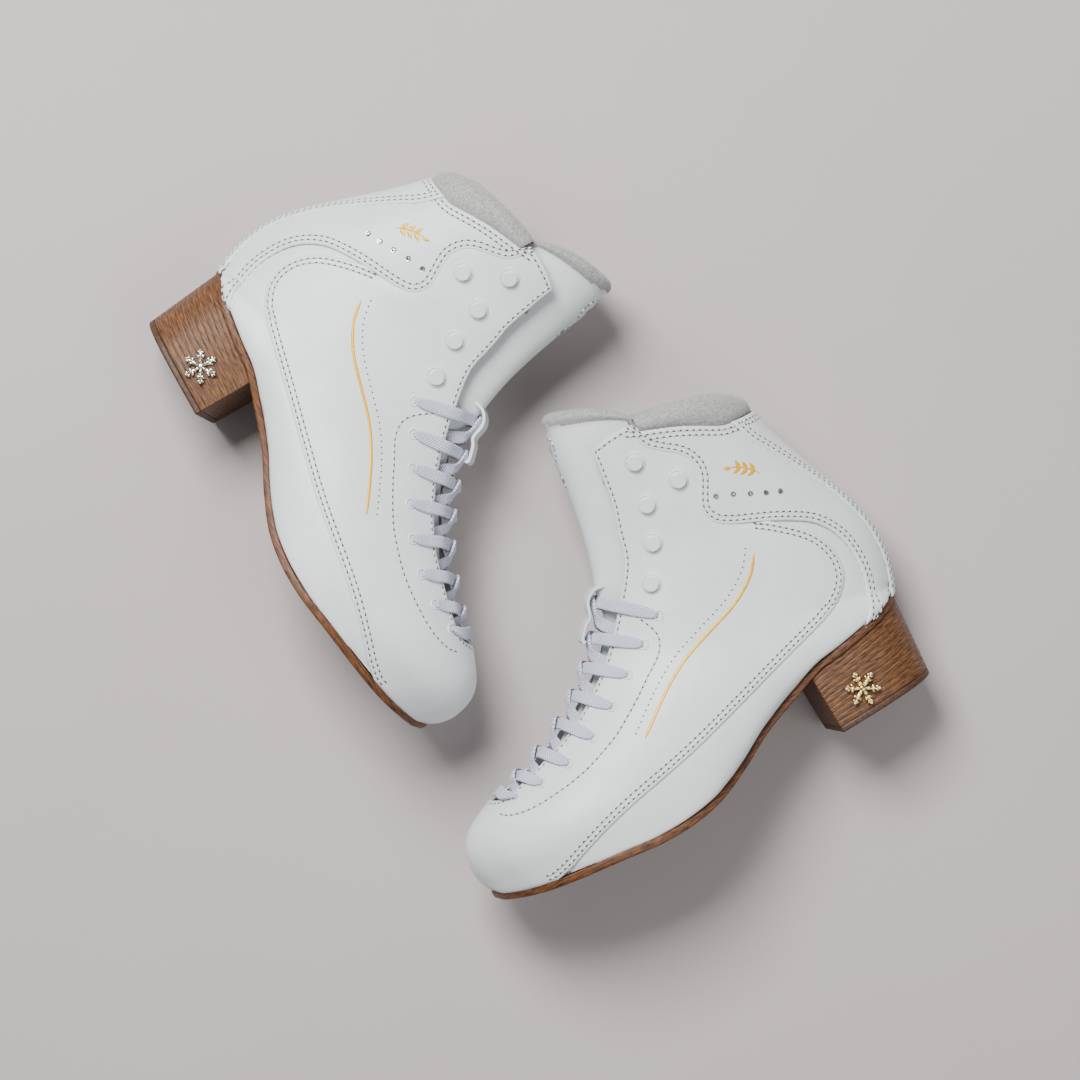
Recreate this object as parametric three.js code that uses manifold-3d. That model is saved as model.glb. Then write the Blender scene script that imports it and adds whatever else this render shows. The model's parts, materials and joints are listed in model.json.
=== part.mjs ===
// A pair of leather figure-skating boots, each lying on its inner side.
// Every boot is drawn in its own upright frame: x from heel to toe, y to the outer side, z up,
// and the two finished boots are then laid down on the plane z = 0. Sizes are in millimetres.
import * as THREE from 'three';
import { mergeVertices } from 'three/addons/utils/BufferGeometryUtils.js';
import Module from 'manifold-3d';

const wasm = await Module();
wasm.setup();

// ---------- driving dimensions ----------
const PATTERN_LENGTH = 268;
const PATTERN_HEIGHT = 197;
const boot_length = 268;
const boot_height = 197;
const width_scale = 1;
const leather = 1.6;
const stiffener = 1.2;
const lining = 1.2;
const gap = 0.3;
const welt = 1.2;
const sole_thickness = 4;
const lift_thickness = 3.3;
const heel_seat_inset = 0.8;
const heel_taper = 0.05;
const insole_thickness = 2.4;
const shank_thickness = 1.6;
const shank_half_width = 7;
const footbed_thickness = 4;
const toe_swing = 6;
const collar_back_depth = 12;
const collar_side_depth = 8;
const tongue_thickness = 6;
const tongue_wing_clearance = 3.6;
const tongue_edge_clearance = 1.2;
const tongue_lower_thickness = 3.2;
const lace_width = 6.4;
const lace_thickness = 1.5;
const lace_slack = 3.4;
const eyelet_radius = 2.3;
const stud_radius = 4.5;
const stud_height = 2.4;
const keeper_width = 16;
const keeper_thickness = 1.4;
const ornament_radius = 9.5;
const ornament_thickness = 1.4;
const lace_ride = 1.3;
const lace_cross_lift = 0.2;
const suede_inner_depth = 28;
const suede_inner_rise = 0.18;
const ornament_gap = 0.8;

// ---------- layers, measured inwards from the outer face of the leather ----------
const stiffener_out = leather + gap;
const lining_out = stiffener_out + stiffener + gap;
const lining_in = lining_out + lining;
const lace_run_depth = lining_in + gap + lace_thickness / 2 + 0.3;
const tongue_lower_out = lace_run_depth + lace_thickness / 2 + gap + lace_slack;
const tongue_out = lining_in + gap;
const tongue_wing_out = lining_in + tongue_wing_clearance;
// heights above the top face of the sole
const shank_low = gap;
const insole_low = shank_low + shank_thickness + gap;
const lining_low = insole_low + insole_thickness + gap;
const footbed_low = lining_low + lining + gap;
// how far the cutting shapes reach, and how far the last's bottom is let down through the sole
const REACH = 200;
const SOLE_DROP = 8;

const sx = boot_length / PATTERN_LENGTH;
const sz = boot_height / PATTERN_HEIGHT;
const grade = ([x, z]) => new THREE.Vector2(x * sx, z * sz);
const curve = (points) => new THREE.SplineCurve(points.map(grade));
const sample = (points, count) => curve(points).getPoints(count);
const corner = (x, z) => new THREE.Vector2(x, z);

// ---------- the last: rings from the collar, round the instep, to the toe ----------
// back: the ring's point on the back or on the sole's edge; front: its point on the front or top
// half: greatest half width; low: how far the widest place lies towards the back point
const STATIONS = [
  { back: [24, 192], front: [114, 231], half: 41, low: 1.3 },
  { back: [18, 173], front: [122.5, 208], half: 39.5, low: 1.3 },
  { back: [12.5, 152], front: [126.5, 184], half: 36.5, low: 1.3 },
  { back: [3, 123.5], front: [131, 162], half: 33.5, low: 1.25 },
  { back: [-4, 103], front: [136, 145], half: 32, low: 1.2 },
  { back: [-7.4, 84], front: [142.5, 129.5], half: 31.8, low: 1.15 },
  { back: [-6.5, 68], front: [149.5, 116.5], half: 32.3, low: 1.1 },
  { back: [-3, 55.5], front: [156.5, 107], half: 33, low: 1.1 },
  { back: [0, 49], front: [162, 101], half: 33.5, low: 1.1 },
  { back: [8, 46.3], front: [167.5, 96.3], half: 34, low: 1.12 },
  { back: [24, 42.7], front: [174, 91.7], half: 35, low: 1.15 },
  { back: [46, 40], front: [181.5, 87], half: 36.5, low: 1.2 },
  { back: [72, 35], front: [189.5, 82.5], half: 38.5, low: 1.25 },
  { back: [98, 26], front: [198, 78.8], half: 40.5, low: 1.35 },
  { back: [124, 14], front: [207.5, 75], half: 42.5, low: 1.45 },
  { back: [150, 6.8], front: [217.5, 71.5], half: 43.5, low: 1.55 },
  { back: [177, 6.7], front: [228, 68.5], half: 43.5, low: 1.6 },
  { back: [202, 10.3], front: [239, 65], half: 41.5, low: 1.6 },
  { back: [224, 13.3], front: [249, 61.3], half: 37, low: 1.6 },
  { back: [242, 15.7], front: [257, 57.5], half: 29.5, low: 1.5 },
  { back: [254, 18.3], front: [262.8, 52.5], half: 20.5, low: 1.4 },
  { back: [261.5, 21], front: [266.3, 46], half: 11.5, low: 1.2 },
  { back: [266.8, 27.5], front: [268.3, 37], half: 0, low: 1 },
];
const RINGS = [0, 1.7, 3.4, 5.2, 6.8, 8, 8.4, 9.6, 11.6, 13.7, 15.7, 17.5, 19.1, 20.4, 21.4, 22];
const LAST = STATIONS.length - 1;
const SEAT_RING = 8;
const TOE_RING = 19;
const DROP_END = 20;
const STEPS = 6;
const backCurve = curve(STATIONS.map((s) => s.back));
const frontCurve = curve(STATIONS.map((s) => s.front));
const halfCurve = new THREE.SplineCurve(STATIONS.map((s, i) => new THREE.Vector2(i, s.half * width_scale)));
const lowCurve = new THREE.SplineCurve(STATIONS.map((s, i) => new THREE.Vector2(i, s.low)));

// ---------- side-view outlines ----------
const FEATHER = [[-2, 49.6], [0, 49], [10, 46], [20, 43.5], [45, 40], [60, 38.5], [80, 32], [100, 25],
  [120, 15.5], [140, 8.5], [160, 6.1], [180, 7], [200, 10], [240, 15], [260, 20], [265, 23], [272, 28]];
const SOLE_PLAN = [[0, 0], [1.5, 10], [8, 20], [20, 27], [38, 30], [60, 29.5], [90, 27.5], [118, 29.5],
  [145, 36.5], [170, 42], [190, 43.5], [210, 41.5], [230, 35.5], [246, 26.5], [257, 16.5], [263, 8.5],
  [265.8, 0]];
const LEATHER_TOP = [[20, 169], [38, 172], [50, 179], [70, 189], [82, 194.5], [90, 197], [101, 196.5],
  [103.5, 195]];
const FACING_EDGE = [[103.5, 195], [104.5, 185], [108, 165], [113, 150], [116, 140], [120, 133],
  [130, 120.5], [143, 106], [157, 93.5], [172, 83.5], [187, 76], [205, 70], [222, 64.5], [234, 61],
  [238.5, 62.5]];
const BACKSTAY_EDGE = [[31, 171], [26, 158], [14, 138], [3.5, 117], [0, 101], [-3.4, 88], [-4, 76],
  [-2, 64], [1.6, 55], [7, 46]];
const ANKLE_EDGE = [[88, 198], [79, 184], [70, 175.5], [63, 167], [62, 160], [67, 150], [70.5, 139],
  [66, 129.5], [54, 122], [40, 114], [28, 107], [18, 97], [12, 82], [12.5, 64], [20, 49], [31, 40]];
const QUARTER_EDGE = [[46, 118], [38, 112.5], [30, 105], [23, 95], [19.5, 83], [21, 74], [27, 65],
  [42, 57.5], [70, 51], [105, 43], [140, 36], [180, 29.5], [205, 23], [222, 17], [236, 10]];
const STAY_EDGE = [[74, 200], [64, 172], [63, 160], [78, 146], [94, 128], [104, 108], [117, 92], [135, 78],
  [160, 63], [190, 53], [215, 50], [236, 54], [246, 61]];
const SUEDE_TOP = [[10, 171], [14, 178], [20, 184], [28, 185.5], [45, 190], [65, 195], [72, 196.5],
  [77, 196]];
const TONGUE_TOP = [[77, 194], [78, 203], [84, 213], [100, 220], [110, 221], [130, 222]];
const COUNTER_EDGE = [[-12, 100], [20, 101], [52, 84], [84, 58], [100, 40], [100, 10]];
const TOE_BOX_EDGE = [[243, 80], [238, 58], [234, 40], [232, 6]];
const HINGE = [134.6, 134];
const STUDS = [[87, 180], [73, 160], [92.5, 157], [100, 138], [111, 120]];
const EYELETS = [[117, 104], [131.5, 95], [147, 85.5], [163, 75.5], [180, 67.5], [198, 62.5], [215, 60.5],
  [230, 60]];
const CROSSINGS = [[139.5, 126], [151.5, 111], [163.5, 100], [176, 90.5], [190, 82], [207, 74.5],
  [223, 69.5]];
const LACE_BAR = [234.6, 67.2];
const KEEPER_TOP = [[127, 128.4], [132.4, 130.8], [137.5, 131.6], [143.2, 128.2], [146.5, 120.5],
  [150.5, 118], [156, 112.5], [155.5, 110.5]];
const KEEPER_LACE = 5.9; // the widest lace that the keeper's line clears as drawn
const FLOOR_END = 256;
const SHANK_BACK = 14;
const SHANK_FRONT = 150;
const COLLAR_FRONT = 77;
const HEEL_FRONT = 65;
const HEEL_BACK_LEAN = 5;
const HEEL_TOP = 48.5;
const EYELET_REACH = 3;
const EYELET_SIDES = 6;
const ORNAMENT_AT = [45, 15];

const heightAt = (outline, x) => {
  for (let i = 1; i < outline.length; i++) {
    const a = outline[i - 1];
    const b = outline[i];
    if (x >= a.x && x <= b.x) return a.y + ((b.y - a.y) * (x - a.x)) / (b.x - a.x || 1);
  }
  return x < outline[0].x ? outline[0].y : outline[outline.length - 1].y;
};
const featherLine = sample(FEATHER, 12);
const PLAN_STEPS = 20;
const solePlan = sample(SOLE_PLAN, PLAN_STEPS).map((p) => new THREE.Vector2(p.x, (p.y / sz) * width_scale));
const soleHalf = (x) => (x <= 0 || x >= solePlan[PLAN_STEPS].x ? 0 : Math.max(0, heightAt(solePlan, x)));
const swing = (x) => toe_swing * THREE.MathUtils.clamp((x / sx - 150) / 118, 0, 1) ** 2;

// ---------- the last's surface ----------
function ring(t, inset) {
  const back = backCurve.getPoint(t / LAST);
  const front = frontCurve.getPoint(t / LAST);
  const chord = front.clone().sub(back).normalize();
  const half = Math.max(0, halfCurve.getPoint(t / LAST).y - inset.side);
  const edge = t > SEAT_RING ? Math.max(0, soleHalf(back.x) - welt - inset.side) : 0;
  back.addScaledVector(chord, inset.back);
  front.addScaledVector(chord, -inset.front);
  // the last rings close the toe, so they are also set back along the boot
  const toe = THREE.MathUtils.clamp((t - TOE_RING) / (LAST - TOE_RING), 0, 1) * inset.side;
  back.x -= toe;
  front.x -= toe;
  return { back, front, half, edge, low: lowCurve.getPoint(t / LAST).y };
}

function ringPoint(r, angle) {
  const u = ((1 - Math.cos(angle)) / 2) ** r.low;
  const s = Math.sin(angle);
  const y = angle < Math.PI / 2 ? r.edge + (r.half - r.edge) * s : r.half * s;
  return new THREE.Vector3(r.back.x + (r.front.x - r.back.x) * u, y, r.back.y + (r.front.y - r.back.y) * u);
}

const insets = (value) => (typeof value === 'number' ? { front: value, side: value, back: value } : value);

// ---------- solids ----------
function toSolid(source) {
  const bare = source.index ? source.toNonIndexed() : source;
  const plain = new THREE.BufferGeometry();
  plain.setAttribute('position', bare.getAttribute('position').clone());
  const merged = mergeVertices(plain, 1e-4);
  const index = merged.index.array;
  const triangles = [];
  for (let i = 0; i < index.length; i += 3) {
    const [a, b, c] = [index[i], index[i + 1], index[i + 2]];
    if (a !== b && b !== c && c !== a) triangles.push(a, b, c);
  }
  const mesh = new wasm.Mesh({
    numProp: 3,
    vertProperties: new Float32Array(merged.getAttribute('position').array),
    triVerts: new Uint32Array(triangles),
  });
  return new wasm.Manifold(mesh);
}

function toGeometry(solid) {
  const mesh = solid.getMesh();
  const geometry = new THREE.BufferGeometry();
  geometry.setAttribute('position', new THREE.BufferAttribute(new Float32Array(mesh.vertProperties), 3));
  geometry.setIndex(new THREE.BufferAttribute(new Uint32Array(mesh.triVerts), 1));
  return geometry;
}

function fromTriangles(points, triangles) {
  const geometry = new THREE.BufferGeometry();
  const numbers = points.flatMap((p) => [p.x, p.y, p.z]);
  geometry.setAttribute('position', new THREE.Float32BufferAttribute(numbers, 3));
  geometry.setIndex(triangles);
  return toSolid(geometry);
}

// the whole last, closed over the collar, with its face set in by the given amount
// and, where drop is given, with its flat bottom let down through the sole
function body(value, drop = SOLE_DROP) {
  const inset = insets(value);
  const points = [];
  const perRing = 2 * STEPS + 2;
  for (const t of RINGS) {
    const r = ring(t, inset);
    const outer = Array.from({ length: STEPS + 1 }, (_, j) => {
      const p = ringPoint(r, (Math.PI * j) / STEPS);
      if (j === 0 && t > SEAT_RING && t < DROP_END) p.z -= drop;
      if (j === STEPS) p.y = 0;
      return p;
    });
    for (const p of outer) points.push(new THREE.Vector3(p.x, p.y - swing(p.x), p.z));
    for (const p of outer.reverse()) points.push(new THREE.Vector3(p.x, -p.y - swing(p.x), p.z));
  }
  const triangles = [];
  for (let i = 0; i + 1 < RINGS.length; i++) {
    for (let j = 0; j < perRing; j++) {
      const a = i * perRing + j;
      const b = i * perRing + ((j + 1) % perRing);
      triangles.push(a, b, b + perRing, a, b + perRing, a + perRing);
    }
  }
  for (let j = 0; j < STEPS; j++) {
    const far = perRing - 1 - j;
    triangles.push(j, far - 1, j + 1, j, far, far - 1);
  }
  return fromTriangles(points, triangles);
}

// where a line across the boot at a place in side view meets a solid, on its outer or inner side
function across(mesh, x, z, side) {
  const spot = new THREE.Vector2(x, z);
  const found = { y: -Infinity, normal: new THREE.Vector3() };
  for (let i = 0; i < mesh.triVerts.length; i += 3) {
    const [a, b, c] = [0, 1, 2].map((k) =>
      new THREE.Vector3().fromArray(mesh.vertProperties, 3 * mesh.triVerts[i + k]));
    const [u, v] = [b.clone().sub(a), c.clone().sub(a)];
    const area = u.x * v.z - u.z * v.x;
    if (Math.abs(area) < 1e-9) continue;
    const q = ((spot.x - a.x) * v.z - (spot.y - a.z) * v.x) / area;
    const r = ((spot.y - a.z) * u.x - (spot.x - a.x) * u.z) / area;
    if (q < 0 || r < 0 || q + r > 1) continue;
    const y = side * (a.y + q * u.y + r * v.y);
    if (y > found.y) Object.assign(found, { y, normal: u.cross(v).normalize() });
  }
  return found;
}

// a place on the leather in side view, lifted off the surface along its normal
function skin([x, z], side, lift) {
  const { y, normal } = across(lastFaces, x * sx, z * sz, side);
  return { point: new THREE.Vector3(x * sx, side * y, z * sz).addScaledVector(normal, lift), normal };
}

const outlineOf = (points) => new THREE.Shape(points.map((p) => new THREE.Vector2(p.x, p.y)));
const throughWidth = new THREE.Matrix4().makeRotationX(Math.PI / 2).setPosition(0, REACH, 0);
const throughLength = new THREE.Matrix4().makeBasis(
  new THREE.Vector3(0, 1, 0),
  new THREE.Vector3(0, 0, 1),
  new THREE.Vector3(1, 0, 0),
).setPosition(-REACH / 2, 0, 0);

// a side-view outline carried through the boot's width
function sidePrism(points) {
  const prism = new THREE.ExtrudeGeometry(outlineOf(points), { depth: 2 * REACH, bevelEnabled: false });
  return toSolid(prism.applyMatrix4(throughWidth));
}

// a front-view outline carried along the boot's length
function frontPrism(points) {
  const prism = new THREE.ExtrudeGeometry(outlineOf(points), { depth: 2 * REACH, bevelEnabled: false });
  return toSolid(prism.applyMatrix4(throughLength));
}

const box = (x0, x1, z0, z1) => [corner(x0, z0), corner(x1, z0), corner(x1, z1), corner(x0, z1)];

function ribbon(points, width) {
  const left = [];
  const right = [];
  points.forEach((p, i) => {
    const before = points[Math.max(0, i - 1)];
    const after = points[Math.min(points.length - 1, i + 1)];
    const across = new THREE.Vector2(before.y - after.y, after.x - before.x).normalize();
    left.push(p.clone().addScaledVector(across, width / 2));
    right.unshift(p.clone().addScaledVector(across, -width / 2));
  });
  return left.concat(right);
}

// everything at least this high above the top of the sole
function above(height) {
  const line = featherLine.map((p) => new THREE.Vector2(p.x, p.y + height));
  line.unshift(new THREE.Vector2(-REACH, line[0].y));
  line.push(new THREE.Vector2(2 * REACH, line[line.length - 1].y));
  return sidePrism([...line, new THREE.Vector2(2 * REACH, 2 * REACH), new THREE.Vector2(-REACH, 2 * REACH)]);
}

// the sole's plan outline carried upwards
function planPrism(inset, low, high) {
  const outer = solePlan.map((p) =>
    corner(THREE.MathUtils.clamp(p.x, inset, solePlan[PLAN_STEPS].x - inset), Math.max(0, p.y - inset)));
  const ends = outer.filter((p) => p.y > 0);
  const nearest = [corner(outer[0].x, 0), ...ends, corner(outer[PLAN_STEPS].x, 0)];
  const upper = nearest.map((p) => new THREE.Vector2(p.x, p.y - swing(p.x)));
  const lower = nearest.slice(1, -1).reverse().map((p) => new THREE.Vector2(p.x, -p.y - swing(p.x)));
  const outline = new THREE.Shape([...upper, ...lower]);
  const prism = new THREE.ExtrudeGeometry(outline, { depth: high - low, bevelEnabled: false });
  return prism.translate(0, 0, low);
}

function rod(from, along, radius, length) {
  const turn = new THREE.Quaternion().setFromUnitVectors(new THREE.Vector3(0, 1, 0), along);
  const rodGeometry = new THREE.CylinderGeometry(radius, radius, length, EYELET_SIDES);
  rodGeometry.translate(0, length / 2, 0).applyQuaternion(turn).translate(from.x, from.y, from.z);
  return toSolid(rodGeometry);
}

// ---------- shared cutting tools ----------
const topEdge = sample(LEATHER_TOP, 6);
const facingEdge = sample(FACING_EDGE, 10);
const backstayEdge = sample(BACKSTAY_EDGE, 8);
const ankleEdge = sample(ANKLE_EDGE, 12);
const quarterEdge = sample(QUARTER_EDGE, 9);
const last0 = body(0);
const lastFaces = last0.getMesh();
const lastLeather = body(leather, 2 * SOLE_DROP);
const lastLiningOut = body(lining_out);
const lastLiningIn = body(lining_in);
const liningFaces = lastLiningIn.getMesh();
const upperOutline = sidePrism([
  corner(-REACH, 0),
  corner(-REACH, topEdge[0].y - 2),
  ...topEdge,
  ...facingEdge.slice(1),
  corner(facingEdge[facingEdge.length - 1].x, REACH),
  corner(2 * REACH, REACH),
  corner(2 * REACH, 0),
]);
const outerSide = sidePrism(box(-REACH, 2 * REACH, -REACH, 2 * REACH)).intersect(
  frontPrism(box(0.01, REACH, -REACH, 2 * REACH)),
);

function eyeletCuts() {
  const cuts = [1, -1].flatMap((side) => EYELETS.map((place) => {
    const { point, normal } = skin(place, side, -lining_in - EYELET_REACH);
    return rod(point, normal, eyelet_radius, lining_in + 2.5 * EYELET_REACH);
  }));
  return cuts.reduce((all, one) => all.add(one));
}

// ---------- leather panels ----------
const eyeletHoles = eyeletCuts();
const shell = last0
  .subtract(lastLeather)
  .intersect(upperOutline)
  .intersect(above(0))
  .subtract(eyeletHoles);
const seams = [backstayEdge, ankleEdge, quarterEdge].map((edge) => sidePrism(ribbon(edge, gap)));
const beforeBackstay = sidePrism([...backstayEdge, corner(-REACH, 0), corner(-REACH, 2 * REACH)]);
const ankleFoot = ankleEdge[ankleEdge.length - 1].x;
const beforeAnkle = sidePrism([
  ...ankleEdge,
  corner(ankleFoot, 0),
  corner(-REACH, 0),
  corner(-REACH, 2 * REACH),
]);
const belowQuarter = sidePrism([
  ...quarterEdge,
  corner(quarterEdge[quarterEdge.length - 1].x, -REACH),
  corner(-REACH, -REACH),
  corner(-REACH, quarterEdge[0].y),
]);
const cut = (solid) => seams.reduce((left, seam) => left.subtract(seam), solid);

const backstay = shell.intersect(beforeBackstay).subtract(seams[0]);
const anklePanels = cut(shell.intersect(beforeAnkle).subtract(beforeBackstay));
const foxing = cut(shell.subtract(beforeAnkle).intersect(belowQuarter));
const vampQuarter = shell.subtract(beforeAnkle).subtract(belowQuarter).subtract(seams[1]).subtract(seams[2]);

// ---------- stiffeners and lining ----------
const stiffenerLayer = body(stiffener_out)
  .subtract(body(stiffener_out + stiffener))
  .intersect(above(lining_low));
const counterEdge = sample(COUNTER_EDGE, 6);
const heelCounter = stiffenerLayer.intersect(
  sidePrism([...counterEdge, corner(-REACH, 0), corner(-REACH, counterEdge[0].y)]),
);
const toeBox = stiffenerLayer
  .intersect(sidePrism([...sample(TOE_BOX_EDGE, 3), corner(2 * REACH, 0), corner(2 * REACH, 80 * sz)]))
  .intersect(upperOutline);
const stayEdge = sample(STAY_EDGE, 12);
const facingBand = sidePrism([
  ...stayEdge,
  corner(2 * REACH, stayEdge[stayEdge.length - 1].y),
  corner(2 * REACH, 2 * REACH),
  corner(stayEdge[0].x, 2 * REACH),
]);
const liningSolid = lastLiningOut
  .intersect(above(lining_low))
  .subtract(lastLiningIn.intersect(above(lining_low + lining)))
  .intersect(upperOutline)
  .subtract(facingBand);

function stud(place, side) {
  const seat = skin(place, side, gap);
  const shoulder = [stud_radius * 0.7, stud_height * 0.92];
  const profile = [[0, 0], [stud_radius, 0], [stud_radius, stud_height * 0.6], shoulder, [0, stud_height]];
  const cap = new THREE.LatheGeometry(profile.map(([r, h]) => corner(r, h)), 10);
  const turn = new THREE.Quaternion().setFromUnitVectors(new THREE.Vector3(0, 1, 0), seat.normal);
  return toSolid(cap.applyQuaternion(turn).translate(seat.point.x, seat.point.y, seat.point.z));
}

function sideOf(solid, side) {
  return side > 0 ? solid.intersect(outerSide) : solid.subtract(outerSide);
}

// ---------- sole, heel and footbed ----------
const soleTop = featherLine.map((p) => corner(p.x, p.y - gap));
const soleBottom = featherLine.map((p) => corner(p.x, p.y - sole_thickness)).reverse();
const outsole = toSolid(planPrism(0, -REACH, REACH)).intersect(sidePrism([...soleTop, ...soleBottom]));

function heelBlock() {
  const top = 60 * sz;
  const geometry = planPrism(heel_seat_inset, 0, top);
  const position = geometry.getAttribute('position');
  const zTop = HEEL_TOP * sz;
  for (let i = 0; i < position.count; i++) {
    const drop = 1 - position.getZ(i) / zTop;
    const x = position.getX(i);
    position.setY(i, position.getY(i) * (1 - heel_taper * drop));
    const lean = THREE.MathUtils.clamp(1 - x / (HEEL_FRONT * sx), 0, 1);
    position.setX(i, x + HEEL_BACK_LEAN * drop * lean);
  }
  const under = featherLine.map((p) => corner(p.x, p.y - sole_thickness - gap)).filter((p) => p.x < 110 * sx);
  const reach = under[under.length - 1].x;
  const limit = sidePrism([
    corner(-REACH, -REACH),
    corner(reach, -REACH),
    ...under.slice().reverse(),
    corner(-REACH, under[0].y),
  ]);
  return toSolid(geometry).intersect(limit).intersect(sidePrism(box(-REACH, HEEL_FRONT * sx, -REACH, REACH)));
}
const heelWhole = heelBlock();
const heel = heelWhole.intersect(sidePrism(box(-REACH, REACH, lift_thickness + gap / 2, REACH)));
const topLift = heelWhole.intersect(sidePrism(box(-REACH, REACH, 0, lift_thickness - gap / 2)));
const floorLayer = (low, high, inset) => body(inset)
  .intersect(above(low))
  .subtract(above(high))
  .intersect(sidePrism(box(-REACH, FLOOR_END * sx, -REACH, REACH)));
const insoleBoard = floorLayer(insole_low, insole_low + insole_thickness, leather + 3 * gap);
const footbed = floorLayer(footbed_low, footbed_low + footbed_thickness, lining_in + 3 * gap);
const shank = last0
  .intersect(above(shank_low))
  .subtract(above(shank_low + shank_thickness))
  .intersect(sidePrism(box(SHANK_BACK * sx, SHANK_FRONT * sx, 0, REACH)))
  .intersect(frontPrism(box(-shank_half_width, shank_half_width, -REACH, REACH)));

// ---------- collar and tongue ----------
const collarEdge = topEdge.filter((p) => p.x < COLLAR_FRONT * sx);
const suedeTop = sample(SUEDE_TOP, 10);
const suedeBand = sidePrism([
  ...suedeTop,
  ...collarEdge.map((p) => corner(p.x, p.y + gap)).reverse(),
  corner(suedeTop[0].x, topEdge[0].y + gap - 1),
]);
const innerBand = sidePrism([
  corner(0, topEdge[0].y - suede_inner_depth),
  ...collarEdge.map((p) => corner(p.x, p.y - suede_inner_depth + p.x * suede_inner_rise)),
  ...collarEdge.map((p) => corner(p.x, p.y + 1)).reverse(),
  corner(0, topEdge[0].y),
]);
const padInner = body({ front: collar_side_depth, side: collar_side_depth, back: collar_back_depth });
const collarPad = body(0)
  .intersect(suedeBand)
  .add(body(lining_in + gap).intersect(innerBand))
  .subtract(padInner);

const throatLevels = [HINGE[1], 140, 150, 160, 170, 180, 190];
const throatHalf = throatLevels.map((level) => {
  const edge = facingEdge.reduce((a, b) => (Math.abs(b.y - level * sz) < Math.abs(a.y - level * sz) ? b : a));
  return across(liningFaces, edge.x, edge.y, 1).y - tongue_edge_clearance;
});
const crownLow = 193.5 * sz;
function tongueFront() {
  const right = throatLevels.map((level, i) => corner(throatHalf[i], level * sz));
  right.push(
    corner(throatHalf[throatHalf.length - 1], crownLow - 1),
    corner(REACH / 2, crownLow + 1),
    corner(REACH / 2, REACH * 2),
  );
  const left = right.map((p) => corner(-p.x, p.y)).reverse();
  return frontPrism([...right, ...left]);
}
const tongueOuter = body({ front: tongue_out, side: tongue_wing_out, back: 0 });
const tongueInner = body({
  front: tongue_out + tongue_thickness,
  side: tongue_wing_out + tongue_thickness * 0.6,
  back: -tongue_thickness * 5,
});
const hinge = grade(HINGE);
const tongueTop = sample(TONGUE_TOP, 8);
const tongueUpperOutline = sidePrism([
  ...tongueTop,
  corner(160 * sx, tongueTop[tongueTop.length - 1].y),
  corner(160 * sx, hinge.y + gap),
  corner(95 * sx, hinge.y + gap),
]);
const tongueUpper = tongueOuter
  .subtract(tongueInner)
  .intersect(tongueUpperOutline)
  .intersect(tongueFront());
const tongueLowerOutline = sidePrism([
  corner(hinge.x + 30, hinge.y - gap),
  corner(hinge.x - 22, hinge.y - gap),
  ...EYELETS.map((p) => grade([p[0] - 6, p[1] - 9])),
  corner(236 * sx, 52 * sz),
  corner(238 * sx, 90 * sz),
]);
const tongueLower = body(tongue_lower_out)
  .subtract(body(tongue_lower_out + tongue_lower_thickness))
  .intersect(tongueLowerOutline);

const keeperRise = 0.3 * (lace_width - KEEPER_LACE);
const keeperDrawn = KEEPER_TOP.map(([x, z], i) => {
  const rise = i < 3 ? 0 : keeperRise;
  return [x + 0.55 * rise, z + 0.83 * rise];
});
const keeperLine = sample(keeperDrawn, 8);
const keeper = sidePrism(ribbon(keeperLine, keeper_thickness)).intersect(
  frontPrism(box(-keeper_width / 2, keeper_width / 2, 0, 2 * REACH)),
);

// ---------- laces ----------
// a flat strip through the given places, each with its own width, thickness and facing
function strip(places) {
  const parts = [];
  const section = (i) => {
    const here = places[i];
    const before = places[Math.max(0, i - 1)].at;
    const after = places[Math.min(places.length - 1, i + 1)].at;
    const along = after.clone().sub(before).normalize();
    const across = along.clone().cross(here.face).normalize();
    const out = across.clone().cross(along).normalize();
    const a = here.width / 2;
    const b = here.thick / 2;
    return [[a, b], [-a, b], [-a, -b], [a, -b]].map(([p, q]) =>
      here.at.clone().addScaledVector(across, p).addScaledVector(out, q));
  };
  for (let i = 0; i + 1 < places.length; i++) {
    const corners = [...section(i), ...section(i + 1)];
    const triangles = [0, 1, 2, 0, 2, 3, 6, 5, 4, 7, 6, 4];
    for (let k = 0; k < 4; k++) {
      const n = (k + 1) % 4;
      triangles.push(k, k + 4, n, n, k + 4, n + 4);
    }
    parts.push(fromTriangles(corners, triangles));
  }
  return parts.reduce((all, part) => all.add(part));
}

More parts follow.
